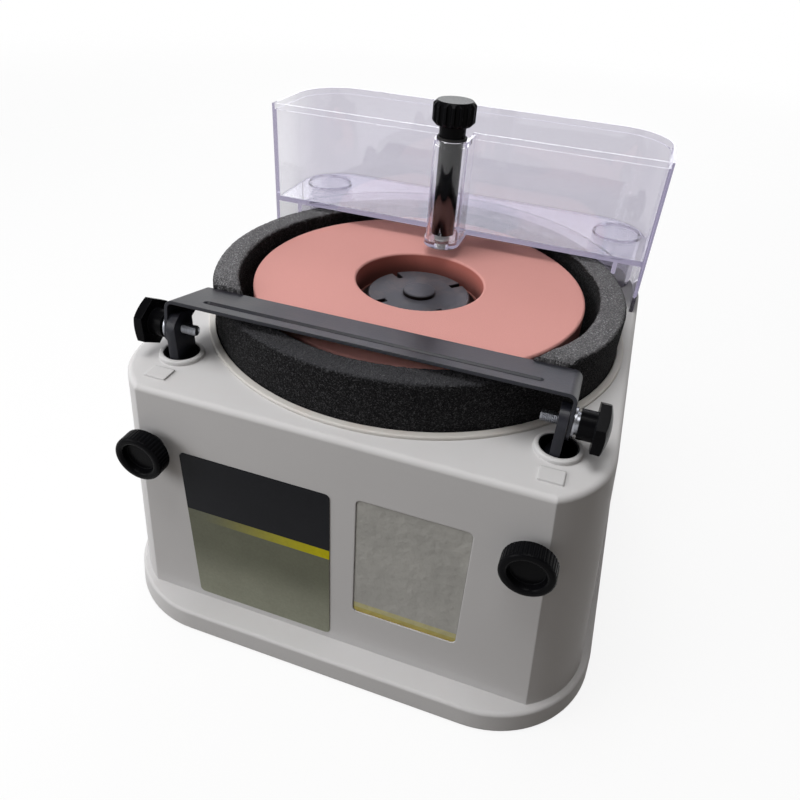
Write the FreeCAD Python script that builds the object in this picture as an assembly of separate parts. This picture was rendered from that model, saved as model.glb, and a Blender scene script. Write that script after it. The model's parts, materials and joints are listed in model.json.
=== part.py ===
import FreeCAD, Part
import math
import os

V = FreeCAD.Vector

# Bench sharpener with a flat wet whetstone. Millimetres, X to the right, Y to the back, Z up.
# The origin is on the wheel's axis, at the surface that the feet stand on.

# Clearances
press = 0.02                  # radial, pieces fixed to each other
running = 0.05                # radial, shaft turning or sliding in a hole
loose = 0.4                   # drop-in pieces and screw holes
soft_gap = 0.3                # foam to its neighbours
face_gap = 0.2                # flat faces that slide past each other
over = 1.0                    # cuts and joined pieces run past each other

# Whetstone
wheel_radius = 102.5
wheel_thickness = 25.0
wheel_recess_radius = 40.0
wheel_recess_depth = 17.0
wheel_bore_radius = 21.0
wheel_edge_round = 1.5
wheel_rise = 24.0             # top of the wheel above the deck

# Splash ring, tub and deck
foam_wheel_gap = 6.8
foam_thickness = 16.7
foam_above_wheel = 6.0
foam_edge_round = 2.0
tub_wall = 2.5
tub_rim_width = 4.1
tub_rim_height = 2.0
tub_rim_edge = 0.7
tub_floor_thickness = 3.0
tub_collar_height = 6.0
splash_gap = 12.0             # tub floor to the wheel seat
deck_margin = 5.0             # tub rim to the side of the deck
panel_margin = 9.5            # tub rim to the front panel
back_margin = 13.5            # tub rim to the back of the deck

# Housing shell
shell_wall = 3.0
body_height = 159.0           # ledge of the plinth to the deck
side_flare = 15.5
back_flare = 6.0
corner_radius_deck = 51.0
corner_radius_foot = 53.0
nose_deck = 7.8               # the rounded corners run past the flat panel by this much
nose_foot = 6.8
deck_edge_round = 3.0

# Plinth
foot_height = 2.0
foot_radius = 12.0
foot_inset = 36.0
foot_stem_radius = 4.0
plinth_height = 14.0
plinth_draft = 1.0
plinth_edge_round = 2.0
plinth_corner_radius = 67.0
plinth_ledge_side = 5.2
plinth_ledge_front = 15.8
plinth_wall = 3.0
plinth_shelf_width = 12.0

# Guide posts and their clamps
post_radius = 9.2
post_from_side = 29.0
post_from_panel = 36.5
post_tongue = 5.0             # thickness of the flattened top
post_flat_offset = 1.5        # tongue's outer flat beyond the post's axis
post_shoulder = 9.0           # below the deck, where the flattening starts
post_shoulder_slope = 8.0
post_end_inset = 2.0          # post's lower end above its sleeve's
pad_width = 12.5
pad_depth = 10.0
pad_height = 1.0
pad_from_panel = 10.0
collar_width = 2.4
collar_height = 2.6
collar_edge_round = 1.2
sleeve_wall = 4.5
sleeve_length = 75.0
sleeve_lip_wall = 0.8
sleeve_lip_inset = 0.6        # top of the sleeve's lip below the collar's
clamp_below_deck = 38.0
clamp_screw_radius = 4.0
clamp_shoe_length = 4.0
clamp_insert_wall = 2.4
clamp_insert_length = 8.0
clamp_boss_length = 9.0
clamp_boss_wall = 2.6
clamp_knob_radius = 14.0
clamp_knob_length = 10.5
clamp_knob_dish = 4.0
clamp_knob_dish_radius = 9.8
clamp_knob_dish_slope = 1.2
clamp_knob_hub_radius = 8.0
clamp_knob_edge = 1.0
clamp_knob_rim_round = 1.9
clamp_knob_reach = 15.1       # front of the knob beyond the panel
knurl_count = 40
knurl_radius = 0.65

# Guide bar and its angle knobs
bar_sheet = 1.8
bar_tilt = 12.8               # degrees, the back edge lower
bar_front = 7.8               # front edge before the stud's axis
bar_width = 37.0
bar_height = 16.4             # top of the bar above the stud's axis
bar_bend_radius = 4.5
bar_lug_radius = 9.0
bar_lug_back = 20.0           # degrees below the stud's axis, where the lug meets the taper
bar_groove_radius = 3.0
bar_groove_depth = 1.6
bar_groove_from_front = 10.5
bar_groove_end = 20.0         # end of the groove to the bar's end
stud_below_wheel = 6.0
stud_radius = 3.0
stud_inner_reach = 8.5        # bare thread inside the tongue
stud_in_knob = 5.0
washer_radius = 7.5
washer_thickness = 1.2
spring_washer_radius = 5.6
spring_washer_thickness = 1.5
angle_shank_radius = 7.6
angle_shank_length = 7.7
angle_head_corner_radius = 14.0
angle_head_thickness = 4.5
angle_head_dome = 3.0

# Wheel mounting
spindle_radius = 8.5
spindle_shoulder = 2.0
spindle_tail = 6.0            # below the pulley
seat_radius = 62.0
seat_thickness = 7.0
retainer_radius = 32.4
retainer_flange_radius = 37.5
retainer_flange = 1.4
retainer_thickness = 7.6
retainer_slot_width = 4.2
retainer_slot_length = 9.0
retainer_slot_depth = 3.0
retainer_edge = 0.8
retainer_slot_angle = 48.0    # degrees from +X to the first slot
cap_radius = 10.3
cap_height = 2.8
cap_edge_round = 1.0
cap_skin = 1.4
seal_wall = 5.5
skirt_gap = 5.0               # seat's skirt outside the tub's collar
skirt_wall = 2.5
skirt_clear = 3.0             # skirt above the tub's floor

# Spindle bearings and chassis
bearing_radius = 20.0
bearing_width = 12.0
bearing_shield_depth = 1.0
bearing_wall = 6.0
bearing_step = 3.0            # bearing seat's shoulder
bearing_gap = 6.0             # bearing housing below the tub
bearing_housing_length = 64.0
bearing_flange_radius = 40.0
bearing_flange_thickness = 7.0
plate_thickness = 4.0
plate_corner_radius = 8.0
plate_edge = 10.0             # pillar axis from the plate's edge
pillar_radius = 6.0
pillar_boss_height = 4.0
pillar_boss_wall = 2.5
screw_radius = 2.0
screw_head_radius = 3.8
screw_head_height = 2.6
chassis_screw_depth = 8.0
motor_screw_depth = 5.0

# Belt drive
driven_radius = 54.0
drive_radius = 15.0
pulley_flange = 3.5
pulley_height = 14.0
pulley_below_plate = 6.0
pulley_rim_wall = 4.0
pulley_web = 5.0
pulley_hub_wall = 6.0
belt_thickness = 2.5
belt_width = 9.0
belt_gap = 0.3

# Motor
motor_radius = 40.0
motor_gap = 4.0
motor_case_wall = 2.0
motor_bell = 10.0
motor_shaft_radius = 5.0
motor_bearing_radius = 13.0
motor_bearing_width = 8.0
rotor_radius = 23.5
rotor_gap = 0.5
capacitor_radius = 13.0
capacitor_height = 40.0
capacitor_edge_round = 1.5
capacitor_tag = 6.0
capacitor_tag_thickness = 1.0
terminal_width = 24.0
terminal_length = 34.0
terminal_height = 15.0
terminal_count = 4
board_margin = 3.0            # capacitor and terminals from the plate's edge

# Water tank and valve
tank_side_inset = 3.0         # tank side inside the deck's side
tank_back_inset = 2.0
tank_corner_radius = 37.0
tank_wall = 2.5
tank_floor = 3.0
tank_above_wheel = 8.5        # underside of the tank's floor
tank_depth = 67.0
tank_rim_depth = 4.0
tank_rim_step = 1.0
tank_arc_gap = 3.0            # splash wall outside the foam
tank_arc_height = 8.0
socket_radius = 17.0
socket_wall = 2.5
socket_from_side = 22.5
socket_from_back = 30.0
socket_bead = 1.0
peg_height = 5.0
valve_y = 46.0
valve_channel_radius = 11.0
valve_channel_wall = 2.0
valve_channel_floor = 3.0
valve_to_tank = 18.0          # valve axis to the tank's front
valve_channel_drop = 1.5      # channel's bottom below the tank's floor
valve_bridge = 3.5
valve_bridge_back = 10.0      # back edge of the bridge behind the valve's axis
valve_foot_width = 0.8
valve_foot_height = 4.5
valve_rod_radius = 7.4
valve_needle = 3.0
valve_notch_width = 4.0
valve_notch_height = 10.0
valve_washer_width = 2.0
valve_washer_height = 1.5
valve_neck_wall = 0.8
valve_neck_height = 7.0
valve_knob_radius = 13.2
valve_knob_height = 14.0
valve_knob_edge = 2.2
valve_knob_flutes = 16
valve_flute_radius = 1.7
nozzle_flange_radius = 5.0
nozzle_flange_height = 1.5
nozzle_stem_radius = 3.0
nozzle_bore_radius = 1.2

# Labels on the front panel
label_thickness = 0.5
label_gap = 15.0              # between the two plates
label_middle = 7.5            # middle of that gap from the wheel's axis
label_left_width = 90.0
label_left_top = 38.0         # below the deck
label_left_bottom = 5.0       # above the ledge
label_right_width = 62.0
label_right_top = 36.0
label_right_bottom = 34.0
label_corner = 3.0
label_recess = 1.0

# Hidden fittings
switch_y = -50.0
switch_above_ledge = 80.0
switch_width = 30.0
switch_height = 26.0
switch_bezel = 2.0
switch_bezel_border = 3.0
switch_bezel_round = 1.2
switch_body_depth = 20.0
rocker_width = 22.0
rocker_radius = 10.0
rocker_pivot_depth = 3.0
rocker_pin_radius = 1.5
rocker_pin_length = 2.0
rocker_sink = 1.0             # middle of the rocker below the bezel's face
rocker_slope = 8.5            # degrees, each half of the rocker's face
rocker_throw = 18.0           # degrees between off and on
drain_x = -72.0
drain_y = 70.0
drain_tube_radius = 6.5
drain_tube_wall = 2.5
drain_nose_radius = 5.5        # the hose pushes on here
drain_nose_length = 8.0
drain_bend_radius = 13.0
drain_flange_radius = 11.0
drain_flange_height = 2.5
drain_below_tub = 26.0
drain_reach = 10.0            # spigot beyond the back wall
gland_x = 70.0
gland_above_ledge = 24.0
gland_bore_radius = 4.0
gland_neck_wall = 3.5
gland_flange_width = 3.5
gland_flange_height = 4.0
gland_nut_height = 6.0
gland_edge_round = 1.3
base_screw_y = (-40.0, 70.0)
base_boss_radius = 5.5
base_boss_height = 24.0
base_screw_depth = 12.0        # into the boss
base_boss_from_wall = 10.0
vent_count = 7
vent_width = 3.5
vent_height = 32.0
vent_pitch = 9.0
vent_above_ledge = 62.0
floor_vent_count = 6
floor_vent_length = 60.0

# Radii outwards from the wheel
foam_inner = wheel_radius + foam_wheel_gap
foam_outer = foam_inner + foam_thickness
tub_inner = foam_outer + soft_gap
tub_outer = tub_inner + tub_wall
rim_outer = tub_inner + tub_rim_width
deck_half = rim_outer + deck_margin
panel_y = -(rim_outer + panel_margin)
deck_back = rim_outer + back_margin

# Heights upwards from the floor
plinth_bottom = foot_height
base_floor_top = plinth_bottom + plinth_wall
ledge_z = plinth_bottom + plinth_height
deck_z = ledge_z + body_height
deck_under = deck_z - shell_wall
wheel_top = deck_z + wheel_rise
wheel_bottom = wheel_top - wheel_thickness
web_top = wheel_top - wheel_recess_depth
seat_bottom = wheel_bottom - seat_thickness
tub_floor_top = seat_bottom - splash_gap
tub_under = tub_floor_top - tub_floor_thickness
bearing_top = tub_under - bearing_gap
plate_top = bearing_top - bearing_housing_length
plate_under = plate_top - plate_thickness
pulley_top = plate_under - pulley_below_plate
pulley_bottom = pulley_top - pulley_height
spindle_bottom = pulley_bottom - spindle_tail
retainer_top = web_top + retainer_thickness
cap_top = retainer_top + cap_height
spindle_top = cap_top - cap_skin
foam_top = wheel_top + foam_above_wheel

# Collar of the tub round the spindle
tub_collar_inner = spindle_radius + seal_wall + press
tub_collar_outer = tub_collar_inner + tub_wall
tub_collar_top = tub_floor_top + tub_collar_height

# Places of the drive
spindle_hole = spindle_radius + spindle_shoulder + loose
motor_y = max(
    bearing_flange_radius + motor_gap + motor_radius,
    driven_radius + drive_radius + 2 * pulley_flange + motor_gap,
)
motor_top = bearing_top - loose
plate_half = driven_radius + pulley_flange + pillar_radius + 2 * screw_head_radius
plate_front = -(driven_radius + pulley_flange)
plate_back = motor_y + motor_radius + plate_edge

# Places of the guide bar
sleeve_lip = post_radius + running + sleeve_lip_wall
post_hole = sleeve_lip + running
post_x = deck_half - post_from_side
post_y = panel_y + post_from_panel
stud_z = wheel_top - stud_below_wheel
clamp_z = deck_z - clamp_below_deck
tongue_out = post_x + post_flat_offset
tongue_in = tongue_out - post_tongue
ear_in = tongue_out + face_gap
ear_out = ear_in + bar_sheet
washer_in = ear_out + face_gap
spring_washer_in = washer_in + washer_thickness
shank_in = spring_washer_in + spring_washer_thickness
head_in = shank_in + angle_shank_length
stud_end = shank_in + stud_in_knob
head_out = head_in + angle_head_thickness

# Places of the tank
tank_half = deck_half - tank_side_inset
tank_back = deck_back - tank_back_inset
tank_front = valve_y + valve_to_tank
tank_under = wheel_top + tank_above_wheel
tank_floor_top = tank_under + tank_floor
tank_top = tank_under + tank_depth
socket_x = tank_half - socket_from_side
socket_y = tank_back - socket_from_back
channel_bottom = tank_under - valve_channel_drop
channel_floor_top = channel_bottom + valve_channel_floor
channel_top = tank_top - tank_rim_step
valve_washer_bottom = channel_top + face_gap
valve_neck_bottom = valve_washer_bottom + valve_washer_height
valve_grip_bottom = valve_neck_bottom + valve_neck_height
valve_grip_top = valve_grip_bottom + valve_knob_height

# Walls of the plinth
foot_half = deck_half + side_flare
foot_back = deck_back + back_flare
plinth_half = foot_half + plinth_ledge_side
plinth_depth = plinth_ledge_front - panel_y


def cylinder(radius, low, high, x=0.0, y=0.0):
    """Upright round bar between two heights."""
    return Part.makeCylinder(radius, high - low, V(x, y, low))


def ring(outer, inner, low, high, x=0.0, y=0.0):
    """Upright tube between two heights."""
    return cylinder(outer, low, high, x, y).cut(cylinder(inner, low - over, high + over, x, y))


def bar_x(radius, start, end, y, z):
    """Round bar along X."""
    return Part.makeCylinder(radius, end - start, V(start, y, z), V(1, 0, 0))


def bar_y(radius, start, end, x, z):
    """Round bar along Y."""
    return Part.makeCylinder(radius, end - start, V(x, start, z), V(0, 1, 0))


def block(x, y, z):
    """Box from three (low, high) pairs."""
    return Part.makeBox(x[1] - x[0], y[1] - y[0], z[1] - z[0], V(x[0], y[0], z[0]))


def turned(points):
    """Solid turned about Z from a closed outline of (radius, height) points."""
    corners = [V(r, 0, z) for r, z in points]
    face = Part.Face(Part.makePolygon(corners + corners[:1]))
    return face.revolve(V(0, 0, 0), V(0, 0, 1), 360)


def prism_x(points, start, end):
    """Outline of (y, z) points, drawn out along X."""
    corners = [V(start, y, z) for y, z in points]
    return Part.Face(Part.makePolygon(corners + corners[:1])).extrude(V(end - start, 0, 0))


def prism_y(points, start, end):
    """Outline of (x, z) points, drawn out along Y."""
    corners = [V(x, start, z) for x, z in points]
    return Part.Face(Part.makePolygon(corners + corners[:1])).extrude(V(0, end - start, 0))


def mirrored(shape):
    """The same piece on the machine's left side."""
    return shape.mirror(V(0, 0, 0), V(1, 0, 0))


def moved(shape, x, y, z):
    """Copy of a piece, shifted."""
    copy = shape.copy()
    copy.translate(V(x, y, z))
    return copy


def fuse(shapes):
    """One solid from pieces that meet."""
    return shapes[0].multiFuse(shapes[1:]).removeSplitter()


def polar(x, y, radius, degrees, z):
    """Point on an upright circle."""
    angle = math.radians(degrees)
    return V(x + radius * math.cos(angle), y + radius * math.sin(angle), z)


def arc(x, y, radius, start, end, z):
    """Edge along an upright circle between two angles in degrees."""
    middle = (start + end) / 2
    points = [polar(x, y, radius, angle, z) for angle in (start, middle, end)]
    return Part.Arc(*points).toShape()


def closed_outline(edges):
    """Wire through arcs given in order, with straight runs between them."""
    chain = []
    for index, edge in enumerate(edges):
        following = edges[(index + 1) % len(edges)]
        chain.append(edge)
        chain.append(Part.makeLine(edge.valueAt(edge.LastParameter),
                                   following.valueAt(following.FirstParameter)))
    return Part.Wire(chain)


def rounded_outline(half, front, back, radius, z):
    """Rectangle with rounded corners, symmetrical about the YZ plane."""
    side = half - radius
    return closed_outline([
        arc(side, front + radius, radius, -90, 0, z),
        arc(side, back - radius, radius, 0, 90, z),
        arc(-side, back - radius, radius, 90, 180, z),
        arc(-side, front + radius, radius, 180, 270, z),
    ])


def rounded_slab(half, front, back, radius, low, high):
    """Upright slab with rounded corners."""
    return Part.Face(rounded_outline(half, front, back, radius, low)).extrude(V(0, 0, high - low))


def shell_share(z):
    """How far down the flared walls a height lies, 0 at the deck and 1 at the ledge."""
    return (deck_z - z) / body_height


def side_wall(z):
    """Outside of the flared side wall."""
    return deck_half + side_flare * shell_share(z)


def back_wall(z):
    """Outside of the flared back wall."""
    return deck_back + back_flare * shell_share(z)


def shell_outline(z, inset):
    """Outside of the housing at a height, moved inwards: the flat panel cuts the rounded front corners."""
    share = shell_share(z)
    radius = corner_radius_deck + (corner_radius_foot - corner_radius_deck) * share - inset
    nose = nose_deck + (nose_foot - nose_deck) * share
    cut = panel_y + inset
    front_y = cut - nose + radius
    side_x = side_wall(z) - inset - radius
    back_y = back_wall(z) - inset - radius
    clip = math.degrees(math.asin((front_y - cut) / radius))
    return closed_outline([
        arc(side_x, front_y, radius, -clip, 0, z),
        arc(side_x, back_y, radius, 0, 90, z),
        arc(-side_x, back_y, radius, 90, 180, z),
        arc(-side_x, front_y, radius, 180, 180 + clip, z),
    ])


def shell_solid(low, high, inset):
    """Solid inside the flared walls between two heights."""
    return Part.makeLoft([shell_outline(low, inset), shell_outline(high, inset)], True, True)


def edges_at(shape, z):
    """Edges that lie flat at a height."""
    return [edge for edge in shape.Edges
            if abs(edge.BoundBox.ZMin - z) < 0.001 and abs(edge.BoundBox.ZMax - z) < 0.001]


def screw(x, y, head_z, length, up):
    """Pan-head screw: its shank runs from head_z, upwards or downwards, and its head lies behind."""
    sign = 1 if up else -1
    shank = Part.makeCylinder(screw_radius, length, V(x, y, head_z), V(0, 0, sign))
    head = Part.makeCylinder(screw_head_radius, screw_head_height, V(x, y, head_z), V(0, 0, -sign))
    return fuse([shank, head])


def screw_hole(x, y, low, high):
    """Room for a screw's shank."""
    return cylinder(screw_radius + press, low, high, x, y)


def wall_place(shape, y_axis_turn, x_axis_turn, x, y, z):
    """Piece drawn on an upright wall, leaned with the wall and moved to its place."""
    copy = shape.copy()
    copy.rotate(V(0, 0, 0), V(0, 1, 0), y_axis_turn)
    copy.rotate(V(0, 0, 0), V(1, 0, 0), x_axis_turn)
    copy.translate(V(x, y, z))
    return copy


side_lean = math.degrees(math.atan(side_flare / body_height))
back_lean = math.degrees(math.atan(back_flare / body_height))
switch_z = ledge_z + switch_above_ledge
gland_z = ledge_z + gland_above_ledge
drain_z = tub_under - drain_below_tub


def on_left_wall(shape):
    """Switch piece, drawn with the wall's outside at X zero and outwards along -X."""
    return wall_place(shape, side_lean, 0, -side_wall(switch_z), switch_y, switch_z)


def on_back_wall(shape):
    """Gland piece, drawn with the wall's outside at Y zero and outwards along +Y."""
    return wall_place(shape, 0, back_lean, gland_x, back_wall(gland_z), gland_z)


def base_boss_places():
    """Screws that hold the housing down, near the side walls."""
    x = foot_half - shell_wall - base_boss_from_wall
    return [(side * x, y) for side in (-1, 1) for y in base_screw_y]


def foot_places():
    """Rubber feet near the plinth's corners."""
    x = plinth_half - foot_inset
    y = plinth_depth - foot_inset
    return [(a * x, b * y) for a in (-1, 1) for b in (-1, 1)]


def pillar_places():
    """Pillars near the corners of the chassis plate."""
    x = plate_half - plate_edge
    return [(side * x, y) for side in (-1, 1) for y in (plate_front + plate_edge, plate_back - plate_edge)]


def circle_places(x, y, radius):
    """Four screws on a circle, midway between the axes."""
    places = [polar(x, y, radius, 45 + 90 * turn, 0) for turn in range(4)]
    return [(place.x, place.y) for place in places]


def bearing_screw_places():
    """Screws through the bearing housing's flange."""
    middle = (bearing_radius + bearing_wall + bearing_flange_radius) / 2
    return circle_places(0, 0, middle)


def motor_screw_places():
    """Screws from below into the motor's lower bell."""
    return circle_places(0, motor_y, (motor_bearing_radius + motor_radius) / 2 + screw_radius)


def base_tray():
    """Plinth: floor, low wall and a shelf that the housing stands on."""
    low = rounded_outline(plinth_half + plinth_draft, -plinth_depth - plinth_draft,
                          plinth_depth + plinth_draft, plinth_corner_radius, plinth_bottom)
    high = rounded_outline(plinth_half, -plinth_depth, plinth_depth, plinth_corner_radius, ledge_z)
    tray = Part.makeLoft([low, high], True, True)
    tray = tray.makeFillet(plinth_edge_round, edges_at(tray, ledge_z))
    shelf_under = ledge_z - plinth_wall
    hollow = rounded_slab(plinth_half - plinth_wall, plinth_wall - plinth_depth, plinth_depth - plinth_wall,
                          plinth_corner_radius - plinth_wall, base_floor_top, shelf_under)
    shelf = shell_wall + plinth_shelf_width
    opening = rounded_slab(foot_half - shelf, panel_y + shelf, foot_back - shelf,
                           corner_radius_foot - shelf, base_floor_top, ledge_z + over)
    bosses = [cylinder(base_boss_radius, base_floor_top - over, ledge_z, x, y) for x, y in base_boss_places()]
    boss_top = base_floor_top + pillar_boss_height
    boss_radius = pillar_radius + pillar_boss_wall
    bosses += [cylinder(boss_radius, base_floor_top - over, boss_top, x, y) for x, y in pillar_places()]
    tray = fuse([tray.cut(hollow).cut(opening)] + bosses)
    holes = [cylinder(foot_stem_radius + press, 0, base_floor_top + over, x, y) for x, y in foot_places()]
    holes += [screw_hole(x, y, 0, ledge_z + over) for x, y in base_boss_places()]
    holes += [cylinder(screw_head_radius + loose, 0, plinth_bottom + screw_head_height, x, y)
              for x, y in base_boss_places()]
    for turn in range(floor_vent_count):
        y = motor_y + (turn - (floor_vent_count - 1) / 2) * vent_pitch
        half = floor_vent_length / 2
        slot_y = (y - vent_width / 2, y + vent_width / 2)
        holes.append(block((-half, half), slot_y, (0, base_floor_top + over)))
    return tray.cut(Part.makeCompound(holes))


def rubber_feet():
    """Four round feet with stems pressed into the plinth's floor."""
    return Part.makeCompound([
        fuse([cylinder(foot_radius, 0, plinth_bottom, x, y),
              cylinder(foot_stem_radius, plinth_bottom - over, base_floor_top, x, y)])
        for x, y in foot_places()
    ])


def base_screws():
    """Screws up through the plinth into the housing's bosses."""
    head_top = plinth_bottom + screw_head_height
    length = ledge_z + base_screw_depth - head_top
    return Part.makeCompound([screw(x, y, head_top, length, True) for x, y in base_boss_places()])


def label_bounds(left):
    """Sides, bottom and top of a label plate on the front panel."""
    if left:
        side = label_middle - label_gap / 2
        return side - label_left_width, side, ledge_z + label_left_bottom, deck_z - label_left_top
    side = label_middle + label_gap / 2
    return side, side + label_right_width, ledge_z + label_right_bottom, deck_z - label_right_top


def label_slab(left, start, end, grow):
    """Plate with rounded corners on the front panel, between two depths."""
    x0, x1, z0, z1 = label_bounds(left)
    middle = (x0 + x1) / 2
    half = (x1 - x0) / 2 + grow
    slab = rounded_slab(half, z0 - grow, z1 + grow, label_corner + grow, 0, end - start)
    slab.rotate(V(0, 0, 0), V(1, 0, 0), 90)
    slab.translate(V(middle, end, 0))
    return slab


def label_plate_left():
    """Plain plate stuck on the panel."""
    return label_slab(True, panel_y - label_thickness, panel_y, 0)


def label_plate_right():
    """Plain plate in a shallow recess of the panel."""
    floor = panel_y + label_recess
    return label_slab(False, floor - label_thickness, floor, 0)


def deck_details():
    """Raised pads, post collars and tank pegs on the deck."""
    pad_x = post_x - pad_width / 2
    pad_y = panel_y + pad_from_panel
    peg_radius = socket_radius - socket_wall - loose
    collar_top = deck_z + collar_height
    pieces = []
    for side in (-1, 1):
        collar = cylinder(post_hole + collar_width, deck_under, collar_top, side * post_x, post_y)
        pad = block((pad_x, pad_x + pad_width), (pad_y, pad_y + pad_depth), (deck_under, deck_z + pad_height))
        pieces += [
            pad if side > 0 else mirrored(pad),
            collar.makeFillet(collar_edge_round, edges_at(collar, collar_top)),
            cylinder(peg_radius, deck_under, deck_z + peg_height, side * socket_x, socket_y),
        ]
    return pieces


def housing_bosses():
    """Bosses for the base screws, each joined to its side wall by a rib."""
    pieces = []
    for x, y in base_boss_places():
        side = 1 if x > 0 else -1
        top = ledge_z + base_boss_height
        wall = side_wall(top) - shell_wall / 2
        rib = block(sorted((x, side * wall)), (y - shell_wall / 2, y + shell_wall / 2), (ledge_z, top))
        pieces += [cylinder(base_boss_radius, ledge_z, top, x, y), rib]
    return pieces


def housing_holes():
    """Everything that passes through the housing's walls and deck."""
    holes = [cylinder(tub_outer + loose, deck_under - over, deck_z + over)]
    clamp_hole = clamp_screw_radius + loose
    collar_top = deck_z + collar_height
    for side in (-1, 1):
        holes.append(cylinder(post_hole, deck_under - over, collar_top + over, side * post_x, post_y))
        holes.append(bar_y(clamp_hole, panel_y - over, panel_y + shell_wall + over, side * post_x, clamp_z))
    for x, y in base_boss_places():
        holes.append(screw_hole(x, y, ledge_z - over, ledge_z + base_screw_depth))
    holes.append(label_slab(False, panel_y - over, panel_y + label_recess, face_gap))
    holes.append(on_left_wall(switch_body(face_gap)))
    gland_hole = gland_bore_radius + gland_neck_wall + face_gap
    holes.append(on_back_wall(bar_y(gland_hole, -2 * shell_wall, shell_wall, 0, 0)))
    wall = back_wall(drain_z)
    holes.append(bar_y(drain_tube_radius + loose, wall - 2 * shell_wall, wall + shell_wall, drain_x, drain_z))
    vent_low = ledge_z + vent_above_ledge
    for turn in range(vent_count):
        x = (turn - (vent_count - 1) / 2) * vent_pitch
        holes.append(block((x - vent_width / 2, x + vent_width / 2), (plate_back, foot_back + over),
                           (vent_low, vent_low + vent_height)))
    return holes


def housing():
    """Moulded shell with a flat front panel, flared walls and the deck."""
    outside = shell_solid(ledge_z, deck_z, 0)
    outside = outside.makeFillet(deck_edge_round, edges_at(outside, deck_z))
    inside = shell_solid(ledge_z, deck_under, shell_wall)
    shell = fuse([outside.cut(inside)] + deck_details() + housing_bosses())
    return shell.cut(Part.makeCompound(housing_holes()))


def water_tub():
    """Round basin that hangs in the deck by its rim, with a collar round the spindle."""
    rim_top = deck_z + tub_rim_height
    tub = turned([
        (tub_collar_inner, tub_under),
        (tub_outer, tub_under),
        (tub_outer, deck_z),
        (rim_outer, deck_z),
        (rim_outer, rim_top - tub_rim_edge),
        (rim_outer - tub_rim_edge, rim_top),
        (tub_inner, rim_top),
        (tub_inner, tub_floor_top),
        (tub_collar_outer, tub_floor_top),
        (tub_collar_outer, tub_collar_top),
        (tub_collar_inner, tub_collar_top),
    ])
    drain = drain_tube_radius + press
    return tub.cut(cylinder(drain, tub_under - over, tub_floor_top + over, drain_x, drain_y))


def foam_ring():
    """Sponge ring standing in the tub round the wheel, pressed down where the bar crosses it."""
    foam = ring(foam_outer, foam_inner, tub_floor_top + soft_gap, foam_top)
    return foam.makeFillet(foam_edge_round, edges_at(foam, foam_top)).cut(bar_press())


def spindle_seal():
    """Lip seal in the tub's collar."""
    return ring(spindle_radius + seal_wall, spindle_radius + running, tub_under, tub_collar_top)


def grinding_wheel():
    """Flat whetstone with a recess for the retainer and a bore for the seat's pilot."""
    wheel = cylinder(wheel_radius, wheel_bottom, wheel_top)
    wheel = wheel.cut(cylinder(wheel_recess_radius, web_top, wheel_top + over))
    wheel = wheel.cut(cylinder(wheel_bore_radius, wheel_bottom - over, wheel_top))
    return wheel.makeFillet(wheel_edge_round, edges_at(wheel, wheel_top))


def wheel_seat():
    """Flange under the wheel, with a pilot in its bore and a skirt over the tub's collar."""
    pilot = wheel_bore_radius - face_gap
    pilot_top = web_top - face_gap
    skirt_inner = tub_collar_outer + skirt_gap
    skirt_outer = skirt_inner + skirt_wall
    skirt_bottom = tub_floor_top + skirt_clear
    bore = spindle_radius + press
    return turned([
        (bore, seat_bottom),
        (skirt_inner, seat_bottom),
        (skirt_inner, skirt_bottom),
        (skirt_outer, skirt_bottom),
        (skirt_outer, seat_bottom),
        (seat_radius, seat_bottom),
        (seat_radius, wheel_bottom),
        (pilot, wheel_bottom),
        (pilot, pilot_top),
        (bore, pilot_top),
    ])


def wheel_retainer():
    """Stepped disc in the wheel's recess, with four slots at its rim."""
    bore = spindle_radius + press
    disc_low = web_top + retainer_flange
    disc = turned([
        (bore, web_top),
        (retainer_flange_radius, web_top),
        (retainer_flange_radius, disc_low),
        (retainer_radius, disc_low),
        (retainer_radius, retainer_top - retainer_edge),
        (retainer_radius - retainer_edge, retainer_top),
        (bore, retainer_top),
    ])
    for turn in range(4):
        slot = block((retainer_radius - retainer_slot_length, retainer_radius + over),
                     (-retainer_slot_width / 2, retainer_slot_width / 2),
                     (retainer_top - retainer_slot_depth, retainer_top + over))
        slot.rotate(V(0, 0, 0), V(0, 0, 1), retainer_slot_angle + 90 * turn)
        disc = disc.cut(slot)
    return disc


def retainer_cap():
    """Round nut over the spindle's end."""
    cap = cylinder(cap_radius, retainer_top, cap_top)
    cap = cap.makeFillet(cap_edge_round, edges_at(cap, cap_top))
    return cap.cut(cylinder(spindle_radius + press, retainer_top - over, spindle_top))


def spindle():
    """Upright shaft, thicker between its bearings."""
    shoulder_low = plate_top + bearing_width + face_gap
    shoulder_high = bearing_top - bearing_width - face_gap
    shaft = cylinder(spindle_radius, spindle_bottom, spindle_top)
    return fuse([shaft, cylinder(spindle_radius + spindle_shoulder, shoulder_low, shoulder_high)])


def spindle_bearing(low):
    """Ball bearing as one ring with a shield groove in each face."""
    inner = spindle_radius + running
    outer = bearing_radius - press
    groove_in = inner + (outer - inner) / 3
    groove_out = outer - (outer - inner) / 3
    depth = bearing_shield_depth
    high = low + bearing_width
    return turned([
        (inner, low),
        (groove_in, low),
        (groove_in, low + depth),
        (groove_out, low + depth),
        (groove_out, low),
        (outer, low),
        (outer, high),
        (groove_out, high),
        (groove_out, high - depth),
        (groove_in, high - depth),
        (groove_in, high),
        (inner, high),
    ])


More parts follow.
